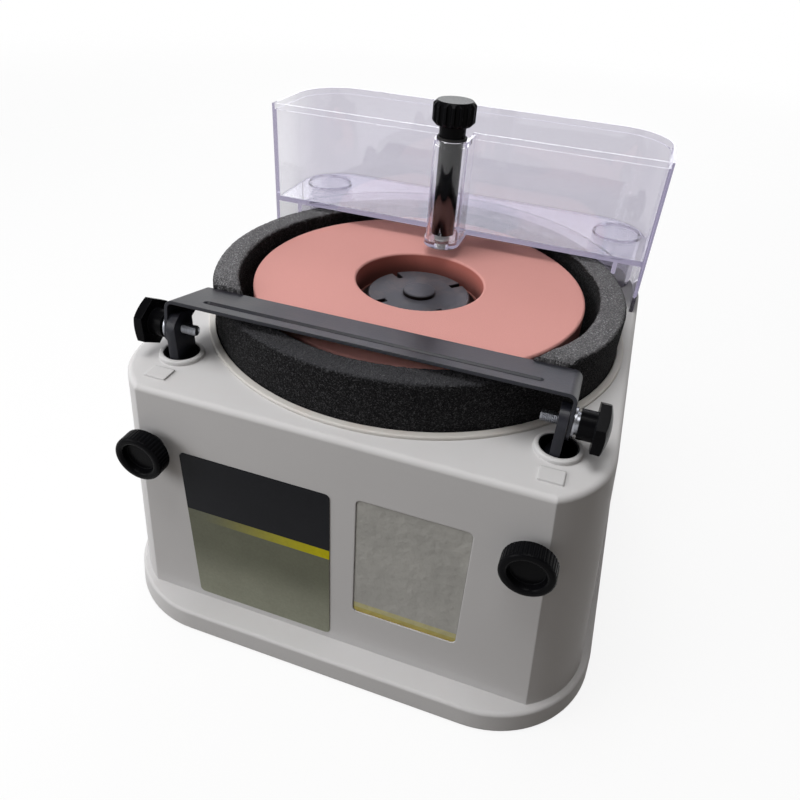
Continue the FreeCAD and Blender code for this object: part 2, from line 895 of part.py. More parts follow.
def bearing_housing():
    """Cast tube with a foot flange and a bearing seat at each end."""
    outside = bearing_radius + bearing_wall
    between = bearing_radius - bearing_step
    tube = turned([
        (bearing_radius, plate_top),
        (bearing_flange_radius, plate_top),
        (bearing_flange_radius, plate_top + bearing_flange_thickness),
        (outside, plate_top + bearing_flange_thickness),
        (outside, bearing_top),
        (bearing_radius, bearing_top),
        (bearing_radius, bearing_top - bearing_width),
        (between, bearing_top - bearing_width),
        (between, plate_top + bearing_width),
        (bearing_radius, plate_top + bearing_width),
    ])
    holes = [screw_hole(x, y, plate_top - over, bearing_top) for x, y in bearing_screw_places()]
    return tube.cut(Part.makeCompound(holes))


def chassis_plate():
    """Steel plate that carries the bearing housing and the motor."""
    plate = rounded_slab(plate_half, plate_front, plate_back, plate_corner_radius, plate_under, plate_top)
    places = bearing_screw_places() + motor_screw_places() + pillar_places()
    holes = [screw_hole(x, y, plate_under - over, plate_top + over) for x, y in places]
    holes.append(cylinder(spindle_hole, plate_under - over, plate_top + over))
    holes.append(cylinder(motor_shaft_radius + shell_wall, plate_under - over, plate_top + over, 0, motor_y))
    return plate.cut(Part.makeCompound(holes))


def chassis_pillars():
    """Four pillars from the plinth's floor to the chassis plate."""
    low = base_floor_top + pillar_boss_height
    hole_low = plate_under - chassis_screw_depth
    return Part.makeCompound([
        cylinder(pillar_radius, low, plate_under, x, y).cut(screw_hole(x, y, hole_low, plate_under + over))
        for x, y in pillar_places()
    ])


def chassis_screws():
    """Screws at the pillars, the bearing housing and the motor."""
    flange_top = plate_top + bearing_flange_thickness
    through = bearing_flange_thickness + plate_thickness
    reach = plate_thickness + chassis_screw_depth
    screws = [screw(x, y, plate_top, reach, False) for x, y in pillar_places()]
    screws += [screw(x, y, flange_top, through, False) for x, y in bearing_screw_places()]
    motor_reach = plate_thickness + motor_screw_depth
    screws += [screw(x, y, plate_under, motor_reach, True) for x, y in motor_screw_places()]
    return Part.makeCompound(screws)


def pulley(radius, bore, x, y):
    """Flanged flat-belt pulley, hollowed to a hub and a web where there is room."""
    flange = (pulley_height - belt_width - 2 * face_gap) / 2
    rim = radius + pulley_flange
    hub = bore + pulley_hub_wall
    rim_inner = radius - pulley_rim_wall
    web_low = (pulley_bottom + pulley_top - pulley_web) / 2
    web_high = web_low + pulley_web
    low_pocket = [(hub, pulley_bottom), (hub, web_low), (rim_inner, web_low), (rim_inner, pulley_bottom)]
    high_pocket = [(rim_inner, pulley_top), (rim_inner, web_high), (hub, web_high), (hub, pulley_top)]
    groove = [
        (rim, pulley_bottom),
        (rim, pulley_bottom + flange),
        (radius, pulley_bottom + flange),
        (radius, pulley_top - flange),
        (rim, pulley_top - flange),
        (rim, pulley_top),
    ]
    if rim_inner > hub + pulley_rim_wall:
        groove = low_pocket + groove + high_pocket
    return moved(turned([(bore, pulley_bottom)] + groove + [(bore, pulley_top)]), x, y, 0)


def driven_pulley():
    """Large pulley at the foot of the spindle."""
    return pulley(driven_radius, spindle_radius + press, 0, 0)


def drive_pulley():
    """Small pulley on the motor's shaft."""
    return pulley(drive_radius, motor_shaft_radius + press, 0, motor_y)


def belt_slab(offset):
    """Slab inside the belt's line, moved outwards from the pulleys' rims."""
    big = driven_radius + offset
    small = drive_radius + offset
    lean = math.degrees(math.asin((big - small) / motor_y))
    middle = (pulley_bottom + pulley_top) / 2
    low = middle - belt_width / 2
    outline = closed_outline([
        arc(0, 0, big, 180 - lean, 360 + lean, low),
        arc(0, motor_y, small, lean, 180 - lean, low),
    ])
    return Part.Face(outline).extrude(V(0, 0, belt_width))


def drive_belt():
    """Flat belt round both pulleys."""
    return belt_slab(belt_gap + belt_thickness).cut(belt_slab(belt_gap))


def motor_case():
    """Tube round the stator."""
    inner = motor_radius - motor_case_wall
    return ring(motor_radius, inner, plate_top + motor_bell, motor_top - motor_bell, 0, motor_y)


def core_heights():
    """Lower and upper face of the motor's cores, short of the end bells."""
    return plate_top + motor_bell + motor_case_wall, motor_top - motor_bell - motor_case_wall


def motor_stator():
    """Laminated ring with its windings."""
    low, high = core_heights()
    return ring(motor_radius - motor_case_wall - press, rotor_radius + rotor_gap, low, high, 0, motor_y)


def motor_rotor():
    """Laminated core on the motor's shaft."""
    low, high = core_heights()
    return ring(rotor_radius, motor_shaft_radius + press, low, high, 0, motor_y)


def motor_bearing_lows():
    """Lower faces of the motor's two bearings, in the middle of the bells."""
    inset = (motor_bell - motor_bearing_width) / 2
    return plate_top + inset, motor_top - motor_bell + inset


def motor_end_bells():
    """Two round covers that hold the motor's bearings."""
    bells = []
    for low, high in ((plate_top, plate_top + motor_bell), (motor_top - motor_bell, motor_top)):
        bell = cylinder(motor_radius, low, high, 0, motor_y)
        bells.append(bell.cut(cylinder(motor_bearing_radius, low - over, high + over, 0, motor_y)))
    deep = plate_top + motor_screw_depth
    holes = [screw_hole(x, y, plate_top - over, deep) for x, y in motor_screw_places()]
    bells[0] = bells[0].cut(Part.makeCompound(holes))
    return Part.makeCompound(bells)


def motor_bearings():
    """Bearing rings in the end bells."""
    outer = motor_bearing_radius - press
    inner = motor_shaft_radius + running
    return Part.makeCompound([
        ring(outer, inner, low, low + motor_bearing_width, 0, motor_y) for low in motor_bearing_lows()
    ])


def motor_shaft():
    """Motor shaft, from the small pulley to the upper bell."""
    return cylinder(motor_shaft_radius, pulley_bottom, motor_top, 0, motor_y)


def run_capacitor():
    """Capacitor can with two tags, standing on the chassis plate."""
    x = plate_half - capacitor_radius - board_margin
    y = bearing_flange_radius / 2
    top = plate_top + capacitor_height
    can = cylinder(capacitor_radius, plate_top, top, x, y)
    can = can.makeFillet(capacitor_edge_round, edges_at(can, top))
    pieces = [can]
    for side in (-1, 1):
        middle = x + side * capacitor_tag
        tag_x = (middle - capacitor_tag_thickness / 2, middle + capacitor_tag_thickness / 2)
        tag_y = (y - capacitor_tag / 2, y + capacitor_tag / 2)
        pieces.append(block(tag_x, tag_y, (top - over, top + capacitor_tag)))
    return fuse(pieces)


def terminal_block():
    """Terminal strip on the chassis plate, with two rows of screw wells."""
    x = board_margin - plate_half
    y = (bearing_flange_radius - terminal_length) / 2
    top = plate_top + terminal_height
    strip = block((x, x + terminal_width), (y, y + terminal_length), (plate_top, top))
    pitch = terminal_length / terminal_count
    wells = []
    for turn in range(terminal_count):
        for row in (1, 3):
            well_x = x + row * terminal_width / 4
            wells.append(cylinder(screw_radius, plate_top + terminal_height / 2, top + over,
                                  well_x, y + pitch * (turn + 0.5)))
    return strip.cut(Part.makeCompound(wells))


def clamp_boss_front():
    """Front end of the threaded boss on a post's sleeve."""
    return post_y - post_radius - sleeve_wall - clamp_boss_length


def right_post_sleeve():
    """Guide tube with a lip in the deck's hole and a boss towards the front panel for the clamp screw."""
    low = deck_under - sleeve_length
    lip_top = deck_z + collar_height - sleeve_lip_inset
    outside = post_radius + sleeve_wall
    insert = clamp_screw_radius + running + clamp_insert_wall
    front = clamp_boss_front()
    tube = fuse([cylinder(outside, low, deck_under, post_x, post_y),
                 cylinder(sleeve_lip, low, lip_top, post_x, post_y),
                 bar_y(insert + clamp_boss_wall, front, post_y, post_x, clamp_z)])
    tube = tube.cut(cylinder(post_radius + running, low - over, lip_top + over, post_x, post_y))
    tube = tube.cut(bar_y(insert + press, front - over, front + clamp_insert_length, post_x, clamp_z))
    return tube.cut(bar_y(clamp_screw_radius + loose, front, post_y, post_x, clamp_z))


def right_clamp_insert():
    """Brass bush that the clamp screw runs in."""
    front = clamp_boss_front()
    inner = clamp_screw_radius + running
    bush = bar_y(inner + clamp_insert_wall, front, front + clamp_insert_length, post_x, clamp_z)
    return bush.cut(bar_y(inner, front - over, post_y, post_x, clamp_z))


def shoe_tip():
    """End of the clamp shoe, just clear of the post."""
    return post_y - post_radius - soft_gap


def right_clamp_shoe():
    """Brass pad at the clamp screw's tip."""
    tip = shoe_tip()
    return bar_y(clamp_screw_radius - face_gap, tip - clamp_shoe_length, tip, post_x, clamp_z)


def clamp_knob_front():
    """Front face of the clamp knobs."""
    return panel_y - clamp_knob_reach


def right_clamp_screw():
    """Screw from the knob through the panel to the shoe."""
    start = clamp_knob_front() + clamp_knob_length / 2
    return bar_y(clamp_screw_radius, start, shoe_tip() - clamp_shoe_length, post_x, clamp_z)


def right_clamp_knob():
    """Round knob with a ribbed rim, a dished face with a rounded edge and a hub behind."""
    rim = clamp_knob_radius
    edge = clamp_knob_edge
    reach = clamp_knob_reach - loose
    socket = clamp_knob_length / 2
    knob = turned([
        (0, clamp_knob_dish),
        (clamp_knob_dish_radius - clamp_knob_dish_slope, clamp_knob_dish),
        (clamp_knob_dish_radius, 0),
        (rim, 0),
        (rim, clamp_knob_length - edge),
        (rim - edge, clamp_knob_length),
        (clamp_knob_hub_radius, clamp_knob_length),
        (clamp_knob_hub_radius, reach),
        (0, reach),
    ])
    knob = knob.makeFillet(clamp_knob_rim_round, edges_at(knob, 0))
    flutes = []
    for turn in range(knurl_count):
        place = polar(0, 0, rim + knurl_radius / 2, 360 * turn / knurl_count, 0)
        flutes.append(cylinder(knurl_radius, -over, clamp_knob_length + over, place.x, place.y))
    knob = knob.cut(Part.makeCompound(flutes))
    knob = knob.cut(cylinder(clamp_screw_radius + press, socket, reach + over))
    knob.rotate(V(0, 0, 0), V(1, 0, 0), -90)
    knob.translate(V(post_x, clamp_knob_front(), clamp_z))
    return knob


def right_post():
    """Round post whose top is flattened to a tongue for the guide bar's ear."""
    low = deck_under - sleeve_length + post_end_inset
    top = stud_z + post_radius
    shoulder = deck_z - post_shoulder
    wide = 2 * post_radius
    rod = cylinder(post_radius, low, top, post_x, post_y)
    outer_cut = block((tongue_out, tongue_out + wide), (post_y - wide, post_y + wide), (shoulder, top + over))
    inner_cut = prism_y([
        (post_x - wide, shoulder),
        (post_x - post_radius, shoulder),
        (tongue_in, shoulder + post_shoulder_slope),
        (tongue_in, top + over),
        (post_x - wide, top + over),
    ], post_y - wide, post_y + wide)
    head = block((post_x - wide, post_x + wide), (post_y - wide, post_y + wide), (stud_z, top + over))
    head = head.cut(bar_x(post_radius, post_x - wide, post_x + wide, post_y, stud_z))
    rod = rod.cut(outer_cut).cut(inner_cut).cut(head)
    return rod.cut(bar_x(stud_radius + running, post_x - wide, post_x + wide, post_y, stud_z))


def bar_channel():
    """Sheet bent to a wide U: the bar with an ear turned down at each end, drawn about the stud's axis."""
    low = -bar_lug_radius - over
    start = -bar_front
    end = start + bar_width
    under = bar_height - bar_sheet
    outside = block((-ear_out, ear_out), (start, end), (low, bar_height))
    inside = block((-ear_in, ear_in), (start - over, end + over), (low - over, under))
    outer_edges = [edge for edge in edges_at(outside, bar_height) if edge.BoundBox.XLength < 0.001]
    inner_edges = [edge for edge in edges_at(inside, under) if edge.BoundBox.XLength < 0.001]
    outside = outside.makeFillet(bar_bend_radius, outer_edges)
    inside = inside.makeFillet(bar_bend_radius - bar_sheet, inner_edges)
    return outside.cut(inside)


def bar_side_view():
    """Side view of the bar and its ears, which taper to a round lug, as a slab across the machine."""
    x = -ear_out - over
    start = -bar_front
    end = bar_width - bar_front
    drop = math.radians(bar_lug_back)
    back = V(x, bar_lug_radius * math.cos(drop), -bar_lug_radius * math.sin(drop))
    bottom = V(x, 0, -bar_lug_radius)
    front = V(x, start, -math.sqrt(bar_lug_radius ** 2 - start ** 2))
    corners = [
        front,
        V(x, start, bar_height + over),
        V(x, end, bar_height + over),
        V(x, end, bar_height - bar_bend_radius),
        back,
    ]
    lines = [Part.makeLine(a, b) for a, b in zip(corners, corners[1:])]
    lug = Part.Arc(back, bottom, front).toShape()
    return Part.Face(Part.Wire(lines + [lug])).extrude(V(-2 * x, 0, 0))


def groove_rod(radius, end_x):
    """Ball-ended rod along the bar's pressed groove."""
    y = bar_groove_from_front - bar_front
    z = bar_height + bar_groove_radius - bar_groove_depth
    balls = [Part.makeSphere(radius, V(x, y, z)) for x in (-end_x, end_x)]
    return fuse([bar_x(radius, -end_x, end_x, y, z)] + balls)


def leaned(shape):
    """Shape drawn about the stud's axis, leaned down towards the wheel and moved to its place."""
    shape.rotate(V(0, 0, 0), V(1, 0, 0), -bar_tilt)
    shape.translate(V(0, post_y, stud_z))
    return shape


def bar_press():
    """Room that the bar presses into the sponge, open upwards, with the sponge's clearance."""
    under = bar_height - bar_sheet - soft_gap
    along = (-bar_front - soft_gap, bar_width - bar_front + soft_gap)
    flat = block((-ear_out, ear_out), along, (under, bar_height + foam_above_wheel))
    swell = groove_rod(bar_groove_radius + bar_sheet + soft_gap, ear_out - bar_groove_end)
    return leaned(fuse([flat, swell]))


def guide_bar():
    """Black sheet bar on which the blade is rested, leaned down towards the wheel."""
    bar = bar_channel().common(bar_side_view())
    end_x = ear_out - bar_groove_end
    swell = groove_rod(bar_groove_radius + bar_sheet, end_x)
    swell = swell.common(block((-ear_in, ear_in), (-bar_width, bar_width), (0, bar_height - bar_sheet / 2)))
    bar = fuse([bar, swell]).cut(groove_rod(bar_groove_radius, end_x))
    return leaned(bar.cut(bar_x(stud_radius + running, -ear_out - over, ear_out + over, 0, 0)))


def right_angle_washers():
    """Plain washer and split spring washer between the bar's ear and the knob."""
    hole = stud_radius + running
    plain = bar_x(washer_radius, washer_in, spring_washer_in, post_y, stud_z)
    plain = plain.cut(bar_x(hole, washer_in - over, spring_washer_in + over, post_y, stud_z))
    spring = bar_x(spring_washer_radius, spring_washer_in, shank_in, post_y, stud_z)
    spring = spring.cut(bar_x(hole, spring_washer_in - over, shank_in + over, post_y, stud_z))
    split = block((spring_washer_in - over, shank_in + over), (post_y - face_gap, post_y + face_gap),
                  (stud_z, stud_z + 2 * spring_washer_radius))
    return Part.makeCompound([plain, spring.cut(split)])


def right_angle_stud():
    """Threaded stud through the ear and the tongue."""
    start = tongue_in - stud_inner_reach
    return bar_x(stud_radius, start, stud_end, post_y, stud_z)


def hexagon(corner_radius, start, end):
    """Six-sided slab along X about the stud's axis, with corners above and below."""
    points = [(post_y + corner_radius * math.sin(math.radians(60 * turn)),
               stud_z + corner_radius * math.cos(math.radians(60 * turn))) for turn in range(6)]
    return prism_x(points, start, end)


def right_angle_knob():
    """Hand knob with a round shank and a six-sided domed head."""
    end = head_out + angle_head_dome
    shank = bar_x(angle_shank_radius, shank_in, head_in + over, post_y, stud_z)
    dome_radius = (angle_head_corner_radius ** 2 + angle_head_dome ** 2) / (2 * angle_head_dome)
    dome = Part.makeSphere(dome_radius, V(end - dome_radius, post_y, stud_z))
    head = hexagon(angle_head_corner_radius, head_in, end).common(dome)
    knob = fuse([shank, head])
    return knob.cut(bar_x(stud_radius + press, shank_in - over, stud_end, post_y, stud_z))


def tank_slab(inset, low, high):
    """Tank outline, moved inwards, between two heights: square front corners and round back ones."""
    half = tank_half - inset
    front = tank_front + inset
    back = tank_back - inset
    radius = tank_corner_radius - inset
    side = half - radius
    round_y = back - radius
    corners = [V(-half, round_y, low), V(-half, front, low), V(half, front, low), V(half, round_y, low)]
    edges = [Part.makeLine(a, b) for a, b in zip(corners, corners[1:])]
    edges.append(arc(side, round_y, radius, 0, 90, low))
    edges.append(Part.makeLine(V(side, back, low), V(-side, back, low)))
    edges.append(arc(-side, round_y, radius, 90, 180, low))
    return Part.Face(Part.Wire(edges)).extrude(V(0, 0, high - low))


def channel_slab(radius, low, high, end_y):
    """U-shaped slab of the valve channel, from its round front to end_y."""
    tail = block((-radius, radius), (valve_y, end_y), (low, high))
    return fuse([cylinder(radius, low, high, 0, valve_y), tail])


def water_tank():
    """Clear tank with a floor, a skirt down to the deck, two sockets and the valve channel."""
    inner_y = tank_front + tank_wall
    inner_x = tank_half - tank_wall
    bead_top = tank_floor_top + socket_bead
    under = (deck_z - over, tank_under)
    skirt = tank_slab(0, deck_z, tank_under).cut(tank_slab(tank_wall, *under))
    skirt = skirt.cut(block((-inner_x, inner_x), (tank_front - over, inner_y + over), under))
    arc_inner = foam_outer + tank_arc_gap
    splash_wall = ring(arc_inner + tank_wall, arc_inner, tank_under - tank_arc_height, tank_under)
    splash_wall = splash_wall.common(tank_slab(0, deck_z, tank_under))
    foot_top = channel_bottom + valve_foot_height
    channel = channel_slab(valve_channel_radius, channel_bottom, channel_top, inner_y)
    foot = channel_slab(valve_channel_radius + valve_foot_width, channel_bottom, foot_top, inner_y)
    sockets = [cylinder(socket_radius, deck_z, bead_top, side * socket_x, socket_y) for side in (-1, 1)]
    tank = fuse([tank_slab(0, tank_under, tank_top), skirt, splash_wall, channel, foot] + sockets)
    low_water = tank_slab(tank_wall, tank_floor_top, bead_top)
    for side in (-1, 1):
        x = side * socket_x
        socket = cylinder(socket_radius, tank_floor_top - over, bead_top + over, x, socket_y)
        low_water = low_water.cut(socket)
        tank = tank.cut(cylinder(socket_radius - socket_bead, tank_floor_top, bead_top + over, x, socket_y))
        tank = tank.cut(cylinder(socket_radius - socket_wall, deck_z - over, tank_under, x, socket_y))
    inside = valve_channel_radius - valve_channel_wall
    mouth_y = (valve_y + valve_bridge_back, inner_y + over)
    hollows = [
        low_water,
        tank_slab(tank_wall, bead_top, tank_top + over),
        tank_slab(tank_wall - tank_rim_step, tank_top - tank_rim_depth, tank_top + over),
        channel_slab(inside, channel_floor_top, channel_top - valve_bridge, inner_y + over),
        block((-inside, inside), mouth_y, (channel_floor_top, tank_top + over)),
        cylinder(valve_rod_radius + running, channel_floor_top, channel_top + over, 0, valve_y),
        cylinder(nozzle_stem_radius + press, channel_bottom - over, channel_floor_top + over, 0, valve_y),
    ]
    for hollow in hollows:
        tank = tank.cut(hollow)
    return tank


def drip_nozzle():
    """Small bush in the channel's floor that the water drips through."""
    flange_top = channel_floor_top + nozzle_flange_height
    flange = cylinder(nozzle_flange_radius, channel_floor_top, flange_top, 0, valve_y)
    stem = cylinder(nozzle_stem_radius, channel_bottom, flange_top, 0, valve_y)
    bore = cylinder(nozzle_bore_radius, channel_bottom - over, flange_top + over, 0, valve_y)
    return fuse([flange, stem]).cut(bore)


def valve_rod():
    """Rod inside the channel, with a blunt needle over the nozzle and a notch that lets the water past."""
    seat = channel_floor_top + nozzle_flange_height + face_gap
    half = valve_notch_width / 2
    notch = prism_y([(-half, seat - over), (half, seat - over), (0, seat + valve_notch_height)],
                    -valve_rod_radius, valve_rod_radius)
    rod = turned([
        (0, seat),
        (nozzle_bore_radius, seat),
        (valve_rod_radius, seat + valve_needle),
        (valve_rod_radius, valve_grip_bottom),
        (0, valve_grip_bottom),
    ])
    return moved(rod.cut(notch), 0, valve_y, 0)


def valve_washer():
    """Rubber washer on the rod, above the channel's bridge."""
    inner = valve_rod_radius + running
    return ring(inner + valve_washer_width, inner, valve_washer_bottom, valve_neck_bottom, 0, valve_y)


def valve_knob():
    """Fluted knob with a neck, on the rod's upper end."""
    rod_hole = valve_rod_radius + press
    neck = rod_hole + valve_neck_wall
    edge = valve_knob_edge
    knob = turned([
        (rod_hole, valve_neck_bottom),
        (neck, valve_neck_bottom),
        (neck, valve_grip_bottom),
        (valve_knob_radius - edge, valve_grip_bottom),
        (valve_knob_radius, valve_grip_bottom + edge),
        (valve_knob_radius, valve_grip_top - edge),
        (valve_knob_radius - edge, valve_grip_top),
        (0, valve_grip_top),
        (0, valve_grip_bottom),
        (rod_hole, valve_grip_bottom),
    ])
    flutes = []
    for turn in range(valve_knob_flutes):
        place = polar(0, 0, valve_knob_radius, 360 * turn / valve_knob_flutes, 0)
        flutes.append(cylinder(valve_flute_radius, valve_grip_bottom - over, valve_grip_top + over,
                               place.x, place.y))
    return moved(knob.cut(Part.makeCompound(flutes)), 0, valve_y, 0)


def switch_body(grow):
    """Block of the switch through the wall and behind it."""
    half_y = switch_width / 2 + grow
    half_z = switch_height / 2 + grow
    return block((-grow, switch_body_depth), (-half_y, half_y), (-half_z, half_z))


def switch_frame():
    """Bezel and body of the rocker switch, with a well for the rocker."""
    half_y = switch_width / 2 + switch_bezel_border
    half_z = switch_height / 2 + switch_bezel_border
    bezel = block((-switch_bezel, 0), (-half_y, half_y), (-half_z, half_z))
    front_edges = [edge for edge in bezel.Edges if edge.BoundBox.XMax < -switch_bezel / 2]
    bezel = bezel.makeFillet(switch_bezel_round, front_edges)
    well_z = rocker_radius + loose
    well_y = rocker_width / 2 + loose
    well = block((-switch_bezel - over, rocker_pivot_depth + well_z), (-well_y, well_y), (-well_z, well_z))
    pin_end = well_y + rocker_pin_length
    pin_holes = bar_y(rocker_pin_radius + running, -pin_end, pin_end, rocker_pivot_depth, 0)
    return on_left_wall(fuse([bezel, switch_body(0)]).cut(well).cut(pin_holes))


def switch_rocker():
    """Rocker with a shallow V face, on two pins, with its lower half pressed in."""
    half = rocker_width / 2
    reach = rocker_radius + over
    face = rocker_sink - switch_bezel
    edge = face - reach * math.tan(math.radians(rocker_slope))
    far = edge - 2 * rocker_radius
    drum = bar_y(rocker_radius, -half, half, rocker_pivot_depth, 0)
    outline = [(far, -reach), (edge, -reach), (face, 0), (edge, reach), (far, reach)]
    hollow = prism_y(outline, -half - over, half + over)
    pin_end = half + rocker_pin_length
    pins = bar_y(rocker_pin_radius, -pin_end, pin_end, rocker_pivot_depth, 0)
    rocker = fuse([drum.cut(hollow), pins])
    rocker.rotate(V(rocker_pivot_depth, 0, 0), V(0, 1, 0), -rocker_throw / 2)
    return on_left_wall(rocker)


def drain_elbow():
    """Drain from the tub's floor to a hose spigot through the back wall."""
    bend = drain_bend_radius
    end = back_wall(drain_z) + drain_reach
    top = V(drain_x, drain_y, tub_floor_top)
    bend_start = V(drain_x, drain_y, drain_z + bend)
    bend_end = V(drain_x, drain_y + bend, drain_z)
    slack = bend * (1 - math.sqrt(0.5))
    bend_middle = V(drain_x, drain_y + slack, drain_z + slack)
    path = Part.Wire([
        Part.makeLine(top, bend_start),
        Part.Arc(bend_start, bend_middle, bend_end).toShape(),
        Part.makeLine(bend_end, V(drain_x, end, drain_z)),
    ])
    pipes = []
    for radius in (drain_tube_radius, drain_tube_radius - drain_tube_wall):
        circle = Part.Wire(Part.makeCircle(radius, top, V(0, 0, 1)))
        pipes.append(path.makePipeShell([circle], True, True))
    flange = cylinder(drain_flange_radius, tub_under - drain_flange_height, tub_under, drain_x, drain_y)
    nose_start = end - drain_nose_length
    step = bar_y(drain_flange_radius, nose_start, end + over, drain_x, drain_z)
    step = step.cut(bar_y(drain_nose_radius, nose_start - over, end + 2 * over, drain_x, drain_z))
    return fuse([pipes[0], flange]).cut(pipes[1]).cut(step)


def cord_gland():
    """Round inlet for the mains lead in the back wall, held by a nut inside."""
    neck = gland_bore_radius + gland_neck_wall
    rim = neck + gland_flange_width
    inner_end = -shell_wall - gland_nut_height
    outer = bar_y(rim, 0, gland_flange_height, 0, 0)
    front_edges = [edge for edge in outer.Edges if edge.BoundBox.YMin > gland_flange_height / 2]
    outer = outer.makeFillet(gland_edge_round, front_edges)
    nut = bar_y(rim, inner_end, -shell_wall - face_gap, 0, 0)
    body = fuse([outer, bar_y(neck, inner_end, gland_flange_height / 2, 0, 0), nut])
    bore = bar_y(gland_bore_radius, inner_end - over, gland_flange_height + over, 0, 0)
    return on_back_wall(body.cut(bore))


right_pieces = {
    "post_sleeve": right_post_sleeve,
    "clamp_insert": right_clamp_insert,
    "clamp_shoe": right_clamp_shoe,
    "clamp_screw": right_clamp_screw,
    "clamp_knob": right_clamp_knob,
    "post": right_post,
    "angle_washers": right_angle_washers,
    "angle_stud": right_angle_stud,
    "angle_knob": right_angle_knob,
}

single_pieces = [
    base_tray, rubber_feet, base_screws, housing, label_plate_left, label_plate_right, water_tub, foam_ring,
    spindle_seal, grinding_wheel, wheel_seat, wheel_retainer, retainer_cap, spindle, bearing_housing,
    chassis_plate, chassis_pillars, chassis_screws, driven_pulley, drive_pulley, drive_belt, motor_case,
    motor_stator, motor_rotor, motor_end_bells, motor_bearings, motor_shaft, run_capacitor, terminal_block,
    guide_bar, water_tank, drip_nozzle, valve_rod, valve_washer, valve_knob, switch_frame, switch_rocker,
    drain_elbow, cord_gland,
]

nodes = {make.__name__: make() for make in single_pieces}
nodes["lower_spindle_bearing"] = spindle_bearing(plate_top)
nodes["upper_spindle_bearing"] = spindle_bearing(bearing_top - bearing_width)
for name, make in right_pieces.items():
    nodes["right_" + name] = make()
    nodes["left_" + name] = mirrored(nodes["right_" + name])

os.makedirs("parts", exist_ok=True)
for name, shape in nodes.items():
    shape.exportStep("parts/" + name + ".step")
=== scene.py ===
"""Studio scene of a bench wet sharpener: finishes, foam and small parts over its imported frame."""

import json
import logging
import math
from dataclasses import dataclass, replace
from enum import Enum
from functools import cache

import bpy
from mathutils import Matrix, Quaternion, Vector, noise
from mathutils.bvhtree import BVHTree
from mathutils.kdtree import KDTree

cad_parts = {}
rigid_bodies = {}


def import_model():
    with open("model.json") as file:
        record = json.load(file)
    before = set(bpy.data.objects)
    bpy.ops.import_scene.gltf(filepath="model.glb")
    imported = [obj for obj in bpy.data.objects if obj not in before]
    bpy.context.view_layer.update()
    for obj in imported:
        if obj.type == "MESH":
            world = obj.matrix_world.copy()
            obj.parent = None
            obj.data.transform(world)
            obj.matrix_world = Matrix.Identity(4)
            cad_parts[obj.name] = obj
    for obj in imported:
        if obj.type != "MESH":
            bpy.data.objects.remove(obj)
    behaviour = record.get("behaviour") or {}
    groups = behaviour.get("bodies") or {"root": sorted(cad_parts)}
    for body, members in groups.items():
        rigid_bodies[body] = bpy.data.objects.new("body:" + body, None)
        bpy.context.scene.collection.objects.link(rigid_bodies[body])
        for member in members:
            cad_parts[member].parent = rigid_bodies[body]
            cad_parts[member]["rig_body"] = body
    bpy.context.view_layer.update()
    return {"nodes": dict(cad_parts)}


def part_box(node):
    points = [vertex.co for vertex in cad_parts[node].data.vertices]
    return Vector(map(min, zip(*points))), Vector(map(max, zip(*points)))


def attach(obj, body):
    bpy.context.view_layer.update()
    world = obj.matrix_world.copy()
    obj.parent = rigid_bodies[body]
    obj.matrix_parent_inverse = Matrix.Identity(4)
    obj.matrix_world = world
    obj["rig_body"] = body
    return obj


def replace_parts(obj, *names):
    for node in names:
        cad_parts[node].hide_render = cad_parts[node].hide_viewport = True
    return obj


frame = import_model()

Colour = tuple[float, float, float]
Point = tuple[float, float, float]

white: Colour = (1.0, 1.0, 1.0)
log = logging.getLogger("sharpener")


class Side(Enum):
    """Sides of the machine that carry the same fittings."""

    LEFT = "left"
    RIGHT = "right"


class Relief(Enum):
    """Kinds of fine surface relief."""

    GRAIN = "grain"
    CELLS = "cells"


